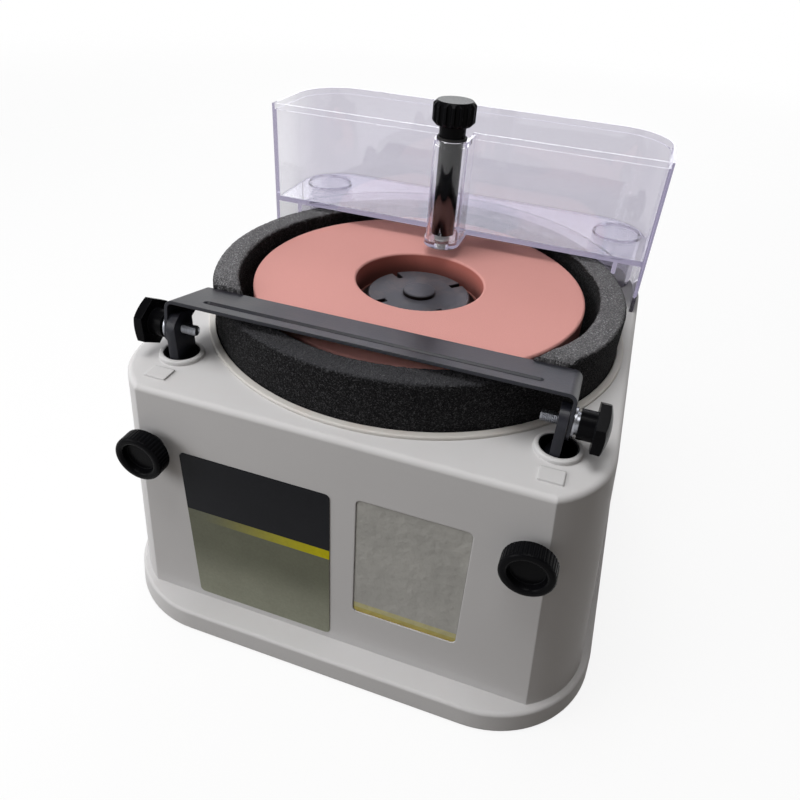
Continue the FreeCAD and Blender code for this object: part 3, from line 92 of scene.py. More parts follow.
class Tree:
    """A node tree with a short way to add and link nodes."""

    def __init__(self, tree: bpy.types.NodeTree) -> None:
        """Keeps the tree that nodes are added to."""
        self.tree = tree

    def add(self, kind: str, inputs: dict | None = None, **settings: object) -> bpy.types.Node:
        """Adds a node, sets its properties and fills its sockets.

        Args:
            kind: Node type without its ShaderNode prefix.
            inputs: Values or output sockets, by socket name or number.
            settings: Properties of the node.

        Returns:
            The new node.
        """
        node = self.tree.nodes.new("ShaderNode" + kind)
        for name, value in settings.items():
            setattr(node, name, value)
        self.fill(node, inputs or {})
        return node

    def fill(self, node: bpy.types.Node, inputs: dict) -> None:
        """Fills a node's sockets.

        Args:
            node: The node.
            inputs: Values or output sockets, by socket name or number.
        """
        for name, value in inputs.items():
            if isinstance(value, bpy.types.NodeSocket):
                self.tree.links.new(value, node.inputs[name])
            else:
                node.inputs[name].default_value = value

    def math(self, operation: str, first: object, second: object = 0.0, clamp: bool = False) -> object:
        """Adds a Math node.

        Args:
            operation: Name of the operation.
            first: First value or socket.
            second: Second value or socket.
            clamp: Whether the result is kept between 0 and 1.

        Returns:
            The node's output socket.
        """
        node = self.add("Math", {0: first, 1: second}, operation=operation, use_clamp=clamp)
        return node.outputs[0]

    def mix(self, share: object, first: object, second: object) -> object:
        """Adds a colour mix.

        Args:
            share: Weight of the second colour.
            first: Colour or socket at weight 0.
            second: Colour or socket at weight 1.

        Returns:
            The mixed colour's socket.
        """
        node = self.add("Mix", {0: share, 6: opaque(first), 7: opaque(second)}, data_type="RGBA")
        return node.outputs[2]

    def between(self, value: object, low: float, high: float) -> object:
        """Adds a smooth step.

        Args:
            value: Value or socket.
            low: Where the step starts, with 0.
            high: Where it ends, with 1.

        Returns:
            The step's socket.
        """
        inputs = {"Value": value, "From Min": low, "From Max": high}
        return self.add("MapRange", inputs, interpolation_type="SMOOTHSTEP").outputs[0]

    def spot(self) -> object:
        """Gives the socket of a point's place in the frame, in metres."""
        return self.add("TexCoord").outputs["Object"]

    def axes(self) -> bpy.types.NodeOutputs:
        """Gives the sockets of that place's X, Y and Z."""
        return self.add("SeparateXYZ", {0: self.spot()}).outputs

    def upward(self, start: float) -> object:
        """Finds the faces that are turned up.

        Args:
            start: Upward share of the normal where the mask starts.

        Returns:
            The mask's socket.
        """
        normal = self.add("NewGeometry").outputs["Normal"]
        return self.between(self.add("SeparateXYZ", {0: normal}).outputs["Z"], start, 1.0)

    def cloud(self, scale: object, detail: float, roughness: float = 0.5) -> object:
        """Adds a cloudy pattern.

        Args:
            scale: Clouds along a metre, or a socket with their number.
            detail: Number of finer layers.
            roughness: Weight of the finer layers.

        Returns:
            The pattern's socket.
        """
        inputs = {"Vector": self.spot(), "Scale": scale, "Detail": detail, "Roughness": roughness}
        return self.add("TexNoise", inputs).outputs[0]

    def scaled(self, colour: object, share: object) -> object:
        """Adds a node that makes a colour lighter or darker.

        Args:
            colour: The colour's socket.
            share: Socket of the number that it is multiplied by.

        Returns:
            The new colour's socket.
        """
        return self.add("VectorMath", {0: colour, "Scale": share}, operation="SCALE").outputs[0]


class EffectGroup:
    """A shader node group with named sockets, shared by several materials."""

    def __init__(self, name: str, inputs: dict[str, str], outputs: dict[str, str]) -> None:
        """Makes an empty group.

        Args:
            name: The group's name.
            inputs: Socket names with their socket types.
            outputs: Socket names with their socket types.
        """
        self.group = bpy.data.node_groups.new(name, "ShaderNodeTree")
        face = self.group.interface
        for direction, sockets in (("INPUT", inputs), ("OUTPUT", outputs)):
            for socket, kind in sockets.items():
                face.new_socket(socket, in_out=direction, socket_type="NodeSocket" + kind)
        self.tree = Tree(self.group)
        self.given = self.group.nodes.new("NodeGroupInput").outputs
        self.result = self.group.nodes.new("NodeGroupOutput").inputs

    def put(self, socket: str, value: object) -> None:
        """Links a value to one of the group's outputs."""
        self.group.links.new(value, self.result[socket])

    def place(self, tree: Tree, inputs: dict) -> bpy.types.NodeOutputs:
        """Places the group in a material.

        Args:
            tree: The material's tree.
            inputs: Values or sockets by socket name.

        Returns:
            The placed group's outputs.
        """
        return tree.add("Group", inputs, node_tree=self.group).outputs


def opaque(colour: object) -> object:
    """Gives a plain colour its fourth number and leaves sockets alone."""
    return (*colour, 1.0) if isinstance(colour, tuple) else colour


def linear(red: int, green: int, blue: int) -> Colour:
    """Turns a colour seen on a screen into the linear one that shaders use.

    Args:
        red: Red from 0 to 255.
        green: Green from 0 to 255.
        blue: Blue from 0 to 255.

    Returns:
        The linear colour.
    """
    def one(value: int) -> float:
        """Turns one channel."""
        share = value / 255
        return share / 12.92 if share <= 0.04045 else ((share + 0.055) / 1.055) ** 2.4
    return one(red), one(green), one(blue)


def new_material(name: str) -> tuple[bpy.types.Material, Tree, bpy.types.Node]:
    """Makes a material.

    Args:
        name: Its name.

    Returns:
        The material, its tree and its Principled shader.
    """
    made = bpy.data.materials.new(name)
    made.use_nodes = True
    return made, Tree(made.node_tree), made.node_tree.nodes["Principled BSDF"]


cloud_middle = 0.5
slurry_colour = linear(190, 160, 150)
slurry_roughness = 0.4
print_edge = 0.0002


def make_mottle() -> EffectGroup:
    """Builds the group that varies a colour over patches and grains.

    Returns:
        The group, with the varied colour and the grains' height.
    """
    effect = EffectGroup(
        "mottle",
        {"Colour": "Color", "Patch Scale": "Float", "Patch": "Float", "Grain Scale": "Float",
         "Grain": "Float"},
        {"Colour": "Color", "Height": "Float", "Patches": "Float"},
    )
    tree, given = effect.tree, effect.given
    patches = tree.cloud(given["Patch Scale"], detail=4.0)
    grains = tree.cloud(given["Grain Scale"], detail=2.0)
    broad = tree.math("MULTIPLY", tree.math("SUBTRACT", patches, cloud_middle), given["Patch"])
    fine = tree.math("MULTIPLY", tree.math("SUBTRACT", grains, cloud_middle), given["Grain"])
    shade = tree.math("ADD", tree.math("ADD", broad, fine), 1.0)
    effect.put("Colour", tree.scaled(given["Colour"], shade))
    effect.put("Height", grains)
    effect.put("Patches", patches)
    return effect


def make_cells() -> EffectGroup:
    """Builds the group of open foam cells and loose grains, with light specks that are painted glints
    on the cell walls.

    Returns:
        The group, with the cells' height and a mask of light specks.
    """
    finer, finer_depth = 2.3, 0.5
    speck_start, speck_full = 0.55, 0.95
    effect = EffectGroup("cells", {"Scale": "Float"}, {"Height": "Float", "Specks": "Float"})
    tree, scale = effect.tree, effect.given["Scale"]
    place = tree.spot()
    coarse = tree.add("TexVoronoi", {"Vector": place, "Scale": scale}, feature="F1").outputs
    small_scale = tree.math("MULTIPLY", scale, finer)
    small = tree.add("TexVoronoi", {"Vector": place, "Scale": small_scale}, feature="F1").outputs
    tone = tree.add("SeparateColor", {0: small["Color"]}).outputs[0]
    bright = tree.between(tone, speck_start, speck_full)
    small_height = tree.math("MULTIPLY", small["Distance"], finer_depth)
    effect.put("Height", tree.math("ADD", coarse["Distance"], small_height))
    effect.put("Specks", tree.math("MULTIPLY", bright, coarse["Distance"]))
    return effect


def make_edges() -> EffectGroup:
    """Builds the group that finds and softens edges.

    Returns:
        The group, with a mask along edges and a normal that is rounded there.
    """
    mask_start, mask_full = 0.02, 0.25
    effect = EffectGroup("edges", {"Radius": "Float"}, {"Mask": "Float", "Normal": "Vector"})
    tree = effect.tree
    round_normal = tree.add("Bevel", {"Radius": effect.given["Radius"]}, samples=6).outputs[0]
    true_normal = tree.add("NewGeometry").outputs["Normal"]
    agreement = tree.add("VectorMath", {0: round_normal, 1: true_normal}, operation="DOT_PRODUCT")
    turned = tree.math("SUBTRACT", 1.0, agreement.outputs["Value"])
    effect.put("Mask", tree.between(turned, mask_start, mask_full))
    effect.put("Normal", round_normal)
    return effect


def make_dust() -> EffectGroup:
    """Builds the group of dried slurry that settles on faces turned up.

    Returns:
        The group, with the dust's mask.
    """
    patch_start, patch_full = 0.45, 0.75
    effect = EffectGroup("dust", {"Amount": "Float"}, {"Mask": "Float"})
    tree = effect.tree
    patches = tree.cloud(60.0, detail=8.0, roughness=0.7)
    settled = tree.math("MULTIPLY", tree.upward(0.3), tree.between(patches, patch_start, patch_full))
    effect.put("Mask", tree.math("MULTIPLY", settled, effect.given["Amount"], clamp=True))
    return effect


def make_walls() -> EffectGroup:
    """Builds the group that tints clear walls from near to far and shades the floor between them.

    Returns:
        The group, with the tint.
    """
    effect = EffectGroup(
        "walls",
        {"Near": "Color", "Far": "Color", "Near Y": "Float", "Far Y": "Float", "Floor Z": "Float",
         "Floor Shade": "Float"},
        {"Colour": "Color"},
    )
    tree, given = effect.tree, effect.given
    place = tree.axes()
    away = tree.between(place["Y"], given["Near Y"], given["Far Y"])
    low = tree.math("LESS_THAN", place["Z"], given["Floor Z"])
    shade = tree.math("SUBTRACT", 1.0, tree.math("MULTIPLY", low, given["Floor Shade"]))
    effect.put("Colour", tree.scaled(tree.mix(away, given["Near"], given["Far"]), shade))
    return effect


mottle = make_mottle()
walls = make_walls()
cells = make_cells()
edges = make_edges()
dust = make_dust()


@dataclass(frozen=True)
class Finish:
    """Opaque finish: mottled colour, fine relief, softened edges, wear and a little dust.

    Attributes:
        name: The material's name.
        colour: Main colour.
        roughness: Roughness of the clean surface.
        metallic: 1 for bare metal.
        patch: How far the colour varies over patches.
        patch_scale: Patches along a metre.
        grain: How far the colour varies over grains.
        grain_scale: Grains along a metre.
        relief: Depth of the grains in metres.
        kind: Whether the relief is grains or cells.
        edge_radius: Softening of sharp edges in metres.
        edge_colour: Colour along worn edges.
        wear: How far the edges take that colour.
        dusty: Share of settled slurry.
        uneven: How far the roughness varies over patches.
        sheen: Weight of a fuzzy sheen.
        specular: Level of reflection.
    """

    name: str
    colour: Colour
    roughness: float
    metallic: float = 0.0
    patch: float = 0.06
    patch_scale: float = 25.0
    grain: float = 0.05
    grain_scale: float = 1400.0
    relief: float = 0.00002
    kind: Relief = Relief.GRAIN
    edge_radius: float = 0.0006
    edge_colour: Colour = (0.5, 0.5, 0.5)
    wear: float = 0.0
    dusty: float = 0.0
    uneven: float = 0.12
    sheen: float = 0.0
    specular: float = 0.5

    @cache
    def material(self) -> bpy.types.Material:
        """Gives the finish's material, made on first use.

        Returns:
            The material.
        """
        made, tree, shader = new_material(self.name + "_finish")
        self.fill(tree, shader)
        return made

    def fill(self, tree: Tree, shader: bpy.types.Node) -> None:
        """Fills the shader's sockets.

        Args:
            tree: The material's tree.
            shader: Its Principled shader.
        """
        varied = mottle.place(tree, {
            "Colour": self.tone(tree), "Patch Scale": self.patch_scale, "Patch": self.patch,
            "Grain Scale": self.grain_scale, "Grain": self.grain,
        })
        edge = edges.place(tree, {"Radius": self.edge_radius})
        colour, height = varied["Colour"], varied["Height"]
        around_middle = tree.math("SUBTRACT", varied["Patches"], cloud_middle)
        swing = tree.math("MULTIPLY", around_middle, self.uneven)
        rough = tree.math("ADD", swing, self.roughness)
        if self.wear:
            worn = tree.math("MULTIPLY", edge["Mask"], self.wear)
            colour = tree.mix(worn, colour, self.edge_colour)
        if self.dusty:
            settled = dust.place(tree, {"Amount": self.dusty})["Mask"]
            colour = tree.mix(settled, colour, slurry_colour)
            rough = tree.math("ADD", rough, tree.math("MULTIPLY", settled, slurry_roughness))
        if self.kind is Relief.CELLS:
            height = cells.place(tree, {"Scale": self.grain_scale})["Height"]
        bump = tree.add("Bump", {"Height": height, "Normal": edge["Normal"], "Strength": 1.0,
                                 "Distance": self.relief})
        tree.fill(shader, {
            "Base Color": colour, "Roughness": tree.math("MINIMUM", rough, 1.0),
            "Normal": bump.outputs[0], "Metallic": self.metallic, "Sheen Weight": self.sheen,
            "Specular IOR Level": self.specular,
        })

    def tone(self, tree: Tree) -> object:
        """Gives the colour before it is varied."""
        return opaque(self.colour)


@dataclass(frozen=True)
class FoamFinish(Finish):
    """Open-celled sponge with light specks, painted top light on its faces turned up and a painted
    shadow of the bar in front.

    Attributes:
        speck: Colour of the cell walls that catch the light, a painted glint.
        upper: Colour of the faces turned up: painted top light, with some grey dried slurry.
        upper_speck: Colour of the cell walls there, lighter with the painted top light.
        painted_shade: Colour of the faces turned up in front, a painted shadow of the bar that lies
            over them.
        shadow_y: Where the painted shadow is full, towards the front.
        unshaded_y: Where the painted shadow has faded out.
        upper_start: Upward share of the normal where the painted top light starts.
    """

    speck: Colour = (0.2, 0.2, 0.2)
    upper: Colour = (0.1, 0.1, 0.1)
    upper_speck: Colour = (0.3, 0.3, 0.3)
    painted_shade: Colour = (0.03, 0.03, 0.03)
    shadow_y: float = -0.1
    unshaded_y: float = -0.055
    upper_start: float = 0.4

    def tone(self, tree: Tree) -> object:
        """Mixes the painted top light, the painted shadow of the bar and the specks into the sponge's
        colour.

        Args:
            tree: The material's tree.

        Returns:
            The colour's socket.
        """
        specks = cells.place(tree, {"Scale": self.grain_scale})["Specks"]
        # Faces turned up are made lighter: painted top light, with some grey dried slurry.
        upward = tree.upward(self.upper_start)
        # The front of the top darkens to a painted shadow of the bar that lies over it.
        unshaded = tree.between(tree.axes()["Y"], self.shadow_y, self.unshaded_y)
        top = tree.mix(unshaded, self.painted_shade, self.upper)
        lit_speck = tree.mix(tree.math("MULTIPLY", upward, unshaded), self.speck, self.upper_speck)
        return tree.mix(specks, tree.mix(upward, self.colour, top), lit_speck)


@dataclass(frozen=True)
class HubFinish(Finish):
    """Moulded hub with painted shade on its slots, side and flange, below its top face.

    Attributes:
        sunk_shade: Colour below the hub's top face, painted shade.
        sunk_start: Height where the painted shade starts.
        sunk_full: Height where it is full.
    """

    sunk_shade: Colour = (0.006, 0.004, 0.004)
    sunk_start: float = 0.1893
    sunk_full: float = 0.1886

    def tone(self, tree: Tree) -> object:
        """Paints shade on what lies below the top face.

        Args:
            tree: The material's tree.

        Returns:
            The colour's socket.
        """
        # Below the top face the hub gets painted shade.
        below = tree.between(tree.axes()["Z"], self.sunk_start, self.sunk_full)
        return tree.mix(below, self.colour, self.sunk_shade)


@dataclass(frozen=True)
class StoneFinish(Finish):
    """Whetstone with painted shade on its recess's wall, darkest at the wall's foot.

    Attributes:
        painted_shade: Colour of the recess's wall below its brim, painted shade.
        deep_shade: Colour at the wall's foot, deeper painted shade.
        brim: Height where the painted shade starts.
        wall_top: Height where it is full.
        wall_foot: Height where the deeper painted shade is full.
        recess_radius: Distance from the wheel's axis where the recess ends.
        brim_radius: Distance beyond which the stone has no painted shade.
    """

    painted_shade: Colour = (0.4, 0.14, 0.12)
    deep_shade: Colour = (0.1, 0.04, 0.035)
    brim: float = 0.1984
    wall_top: float = 0.1974
    wall_foot: float = 0.186
    recess_radius: float = 0.041
    brim_radius: float = 0.0425

    def tone(self, tree: Tree) -> object:
        """Paints shade on the recess's wall, darker towards its foot.

        Args:
            tree: The material's tree.

        Returns:
            The colour's socket.
        """
        place = tree.axes()
        across = tree.add("CombineXYZ", {0: place["X"], 1: place["Y"]}).outputs[0]
        distance = tree.add("VectorMath", {0: across}, operation="LENGTH").outputs["Value"]
        inside = tree.between(distance, self.brim_radius, self.recess_radius)
        below = tree.between(place["Z"], self.brim, self.wall_top)
        low = tree.between(place["Z"], self.wall_top, self.wall_foot)
        # The recess's wall gets painted shade, deeper towards its foot.
        wall = tree.mix(low, self.painted_shade, self.deep_shade)
        return tree.mix(tree.math("MULTIPLY", inside, below), self.colour, wall)


@dataclass(frozen=True)
class LabelFinish(Finish):
    """Printed film with an upper field, a strip and a lower field.

    Attributes:
        upper: Colour of the upper field.
        strip: Colour of the strip.
        split: Height where the upper field ends.
        strip_width: Height of the strip below the split.
        strip_start: Where the strip starts to show along X.
        strip_full: Where it has its full colour.
        foot: Colour at the foot of the lower field.
        foot_start: Height where the lower field starts to turn into it.
        foot_full: Height where it has done so.
    """

    upper: Colour = (0.01, 0.01, 0.01)
    strip: Colour = (0.5, 0.45, 0.05)
    split: float = 0.095
    strip_width: float = 0.007
    strip_start: float = -0.075
    strip_full: float = -0.03
    foot: Colour = (0.2, 0.2, 0.2)
    foot_start: float = 0.07
    foot_full: float = 0.035

    def tone(self, tree: Tree) -> object:
        """Lays the fields out over the plate.

        Args:
            tree: The material's tree.

        Returns:
            The colour's socket.
        """
        place = tree.axes()
        above = tree.between(place["Z"], self.split - print_edge, self.split + print_edge)
        strip_end = self.split - self.strip_width
        on_strip = tree.between(place["Z"], strip_end - print_edge, strip_end + print_edge)
        shown = tree.between(place["X"], self.strip_start, self.strip_full)
        low = tree.between(place["Z"], self.foot_start, self.foot_full)
        field = tree.mix(low, self.colour, self.foot)
        lower = tree.mix(tree.math("MULTIPLY", on_strip, shown), field, self.strip)
        return tree.mix(above, lower, self.upper)


@dataclass(frozen=True)
class ClearFinish:
    """Clear moulded plastic with a tint that gathers in its edges.

    Attributes:
        name: The material's name.
        near: Colour of the light that passes the near wall.
        far: Colour of the light that passes the far wall.
        near_y: Where the plastic still has the near wall's colour.
        far_y: Where it has the far wall's.
        floor_z: Height up to which the floor's shade reaches.
        floor_shade: How much darker the floor is.
        depth_colour: Colour that remains after a long way through the plastic.
        density: How fast it takes that colour, for each metre.
        trapped: Colour of light that is caught between the faces.
        roughness: Roughness of the faces.
        ripple: Depth of the faces' slow ripple in metres.
        ripple_scale: Ripples along a metre.
        index: Index of refraction.
        bounces: Meetings with surfaces after which light counts as caught.
        mirrorings: Reflections after which it does.
    """

    name: str
    near: Colour
    far: Colour
    depth_colour: Colour
    density: float
    trapped: Colour
    near_y: float = 0.07
    far_y: float = 0.135
    floor_z: float = 0.211
    floor_shade: float = 0.16
    roughness: float = 0.02
    ripple: float = 0.00012
    ripple_scale: float = 30.0
    index: float = 1.49
    bounces: float = 8.5
    mirrorings: float = 2.5

    @cache
    def material(self) -> bpy.types.Material:
        """Gives the finish's material, made on first use.

        Returns:
            The material.
        """
        made, tree, shader = new_material(self.name + "_finish")
        tint = walls.place(tree, {
            "Near": opaque(self.near), "Far": opaque(self.far), "Near Y": self.near_y,
            "Far Y": self.far_y, "Floor Z": self.floor_z, "Floor Shade": self.floor_shade,
        })["Colour"]
        wave = tree.cloud(self.ripple_scale, detail=1.0)
        bump = tree.add("Bump", {"Height": wave, "Distance": self.ripple, "Strength": 1.0})
        tree.fill(shader, {
            "Base Color": tint, "Normal": bump.outputs[0], "Roughness": self.roughness,
            "IOR": self.index, "Transmission Weight": 1.0,
        })
        absorbed = {"Color": opaque(self.depth_colour), "Density": self.density}
        depth = tree.add("VolumeAbsorption", absorbed)
        path = tree.add("LightPath").outputs
        far = tree.math("GREATER_THAN", path["Ray Depth"], self.bounces)
        mirrored = tree.math("GREATER_THAN", path["Glossy Depth"], self.mirrorings)
        caught = tree.math("MAXIMUM", far, mirrored)
        glow = tree.add("Emission", {"Color": opaque(self.trapped), "Strength": 1.0})
        face = tree.add("MixShader", {0: caught, 1: shader.outputs[0], 2: glow.outputs[0]})
        output = made.node_tree.nodes["Material Output"]
        tree.fill(output, {"Surface": face.outputs[0], "Volume": depth.outputs[0]})
        return made


shell_plastic = Finish("shell_plastic", linear(204, 203, 203), 0.42, patch=0.05, grain=0.04,
                       grain_scale=2600.0, relief=0.00004, edge_radius=0.0012,
                       edge_colour=linear(220, 219, 219), wear=0.35, dusty=0.05, specular=0.08)
tub_plastic = Finish("tub_plastic", linear(200, 197, 192), 0.38, edge_radius=0.0008, dusty=0.25)
# The sponge's lighter top is painted top light with some dried slurry; its front top is a painted
# shadow of the bar.
sponge = FoamFinish("sponge", linear(18, 18, 20), 0.95, patch=0.3, patch_scale=60.0, grain=0.5,
                    grain_scale=900.0, relief=0.0009, kind=Relief.CELLS, edge_radius=0.0004, sheen=0.02,
                    specular=0.1, speck=linear(84, 84, 86), upper=linear(98, 97, 99),
                    upper_speck=linear(176, 176, 178), painted_shade=linear(56, 56, 59))
# The whetstone's recess wall gets painted shade, deeper at its foot.
whetstone = StoneFinish("whetstone", linear(210, 150, 143), 0.82, patch=0.07, patch_scale=14.0,
                        grain=0.16, grain_scale=2200.0, relief=0.00018, edge_radius=0.001,
                        edge_colour=linear(224, 172, 160), wear=0.4, specular=0.3,
                        painted_shade=linear(182, 106, 96), deep_shade=linear(118, 70, 64))
# The hub and its cap get painted shade below their top faces.
hub_plastic = HubFinish("hub_plastic", linear(70, 70, 76), 0.3, relief=0.00003,
                        edge_colour=linear(120, 120, 126), wear=0.3, dusty=0.12, specular=0.12)
cap_plastic = replace(hub_plastic, name="cap_plastic", sunk_start=0.1921, sunk_full=0.1914)
black_steel = Finish("black_steel", linear(36, 37, 44), 0.34, grain_scale=700.0, relief=0.00006,
                     edge_radius=0.0005, edge_colour=linear(92, 92, 96), wear=0.5, dusty=0.04,
                     specular=0.25)
black_plastic = Finish("black_plastic", linear(11, 11, 13), 0.24, grain_scale=2400.0, relief=0.00003,
                       edge_radius=0.0006, edge_colour=linear(60, 62, 66), wear=0.35, specular=0.035)
zinc_steel = Finish("zinc_steel", linear(150, 152, 158), 0.32, metallic=1.0, patch=0.1,
                    patch_scale=300.0, uneven=0.2, edge_radius=0.0002)
shaft_steel = Finish("shaft_steel", linear(180, 182, 186), 0.25, metallic=1.0, patch_scale=120.0)
cast_alloy = Finish("cast_alloy", linear(168, 170, 174), 0.5, metallic=1.0, patch=0.12, grain=0.15,
                    grain_scale=900.0, relief=0.0001)
winding = Finish("winding", linear(150, 84, 44), 0.4, metallic=1.0, grain=0.3, grain_scale=900.0,
                 relief=0.0002)
brass = Finish("brass", linear(196, 160, 92), 0.3, metallic=1.0)
white_plastic = Finish("white_plastic", linear(228, 228, 224), 0.4)
grey_plastic = Finish("grey_plastic", linear(120, 122, 126), 0.42)
black_rubber = Finish("black_rubber", linear(24, 24, 25), 0.75, grain=0.15, relief=0.00008, dusty=0.08)
label_dark = LabelFinish("label_dark", linear(108, 110, 94), 0.32, patch=0.3, patch_scale=55.0,
                         grain=0.25, grain_scale=600.0, edge_radius=0.0001, upper=linear(25, 26, 30),
                         strip=linear(198, 188, 8), strip_start=-0.085, strip_full=0.006,
                         foot=linear(142, 144, 128), specular=0.06)
label_grey = LabelFinish("label_grey", linear(184, 172, 92), 0.22, patch=0.4, patch_scale=60.0,
                         edge_radius=0.0001, relief=0.0006, grain=0.14, grain_scale=200.0,
                         upper=linear(172, 171, 166), strip=linear(190, 184, 134), split=0.058,
                         strip_width=0.004, strip_start=0.0, strip_full=0.01, foot=linear(176, 148, 62),
                         foot_start=0.054, foot_full=0.048, specular=0.2)
clear_plastic = ClearFinish("clear_plastic", near=(0.95, 0.945, 0.965), far=(0.69, 0.67, 0.74),
                            depth_colour=linear(150, 140, 190), density=6.0,
                            trapped=(0.42, 0.39, 0.5))


def dress(nodes: list[str], finish: Finish | ClearFinish) -> None:
    """Gives frame nodes a finish.

    Args:
        nodes: Names of the nodes.
        finish: The finish.
    """
    for name in nodes:
        mesh = frame["nodes"][name].data
        mesh.materials.clear()
        mesh.materials.append(finish.material())
    log.info("%s: %s", finish.name, ", ".join(nodes))


def new_piece(name: str, points: list[Point], faces: list[tuple[int, ...]],
              finish: Finish) -> bpy.types.Object:
    """Makes a smooth mesh object.

    Args:
        name: The piece's name.
        points: Its vertices in metres.
        faces: Its faces, as vertex numbers.
        finish: Its finish.

    Returns:
        The object.
    """
    mesh = bpy.data.meshes.new(name)
    mesh.from_pydata(points, [], faces)
    mesh.validate()
    mesh.shade_smooth()
    mesh.materials.append(finish.material())
    piece = bpy.data.objects.new(name, mesh)
    bpy.context.scene.collection.objects.link(piece)
    log.info("piece %s: %d faces", name, len(mesh.polygons))
    return piece


def carry(piece: bpy.types.Object, node: str) -> bpy.types.Object:
    """Lets a piece ride with the body of a node.

    Args:
        piece: The piece.
        node: A node of the body.

    Returns:
        The piece.
    """
    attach(piece, frame["nodes"][node]["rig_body"])
    return piece


def tube_faces(rows: int, columns: int, closed_rows: bool) -> list[tuple[int, ...]]:
    """Joins rows of points, each a closed ring, into quads.

    Args:
        rows: Number of rings.
        columns: Points in each ring.
        closed_rows: Whether the last ring joins the first.

    Returns:
        The faces.
    """
    last = rows if closed_rows else rows - 1
    faces = []
    for row in range(last):
        ahead = (row + 1) % rows
        for column in range(columns):
            beside = (column + 1) % columns
            faces.append((row * columns + column, row * columns + beside,
                          ahead * columns + beside, ahead * columns + column))
    return faces


def level_way(turn: int, around: int) -> Vector:
    """Gives a level direction.

    Args:
        turn: Number of the direction, counted from +X.
        around: Number of directions in a full circle.

    Returns:
        The direction, of length 1.
    """
    angle = 2 * math.pi * turn / around
    return Vector((math.cos(angle), math.sin(angle), 0.0))


@dataclass
class Body:
    """Moulded shell with its plinth, feet, labels and wall fittings."""

    def dress(self) -> None:
        """Gives the shell and its fittings their finishes."""
        dress(["housing", "base_tray"], shell_plastic)
        dress(["base_screws", "chassis_screws"], zinc_steel)
        dress(["rubber_feet"], black_rubber)
        dress(["label_plate_left"], label_dark)
        dress(["label_plate_right"], label_grey)
        dress(["cord_gland", "drain_elbow"], black_plastic)
        dress(["water_tub"], tub_plastic)


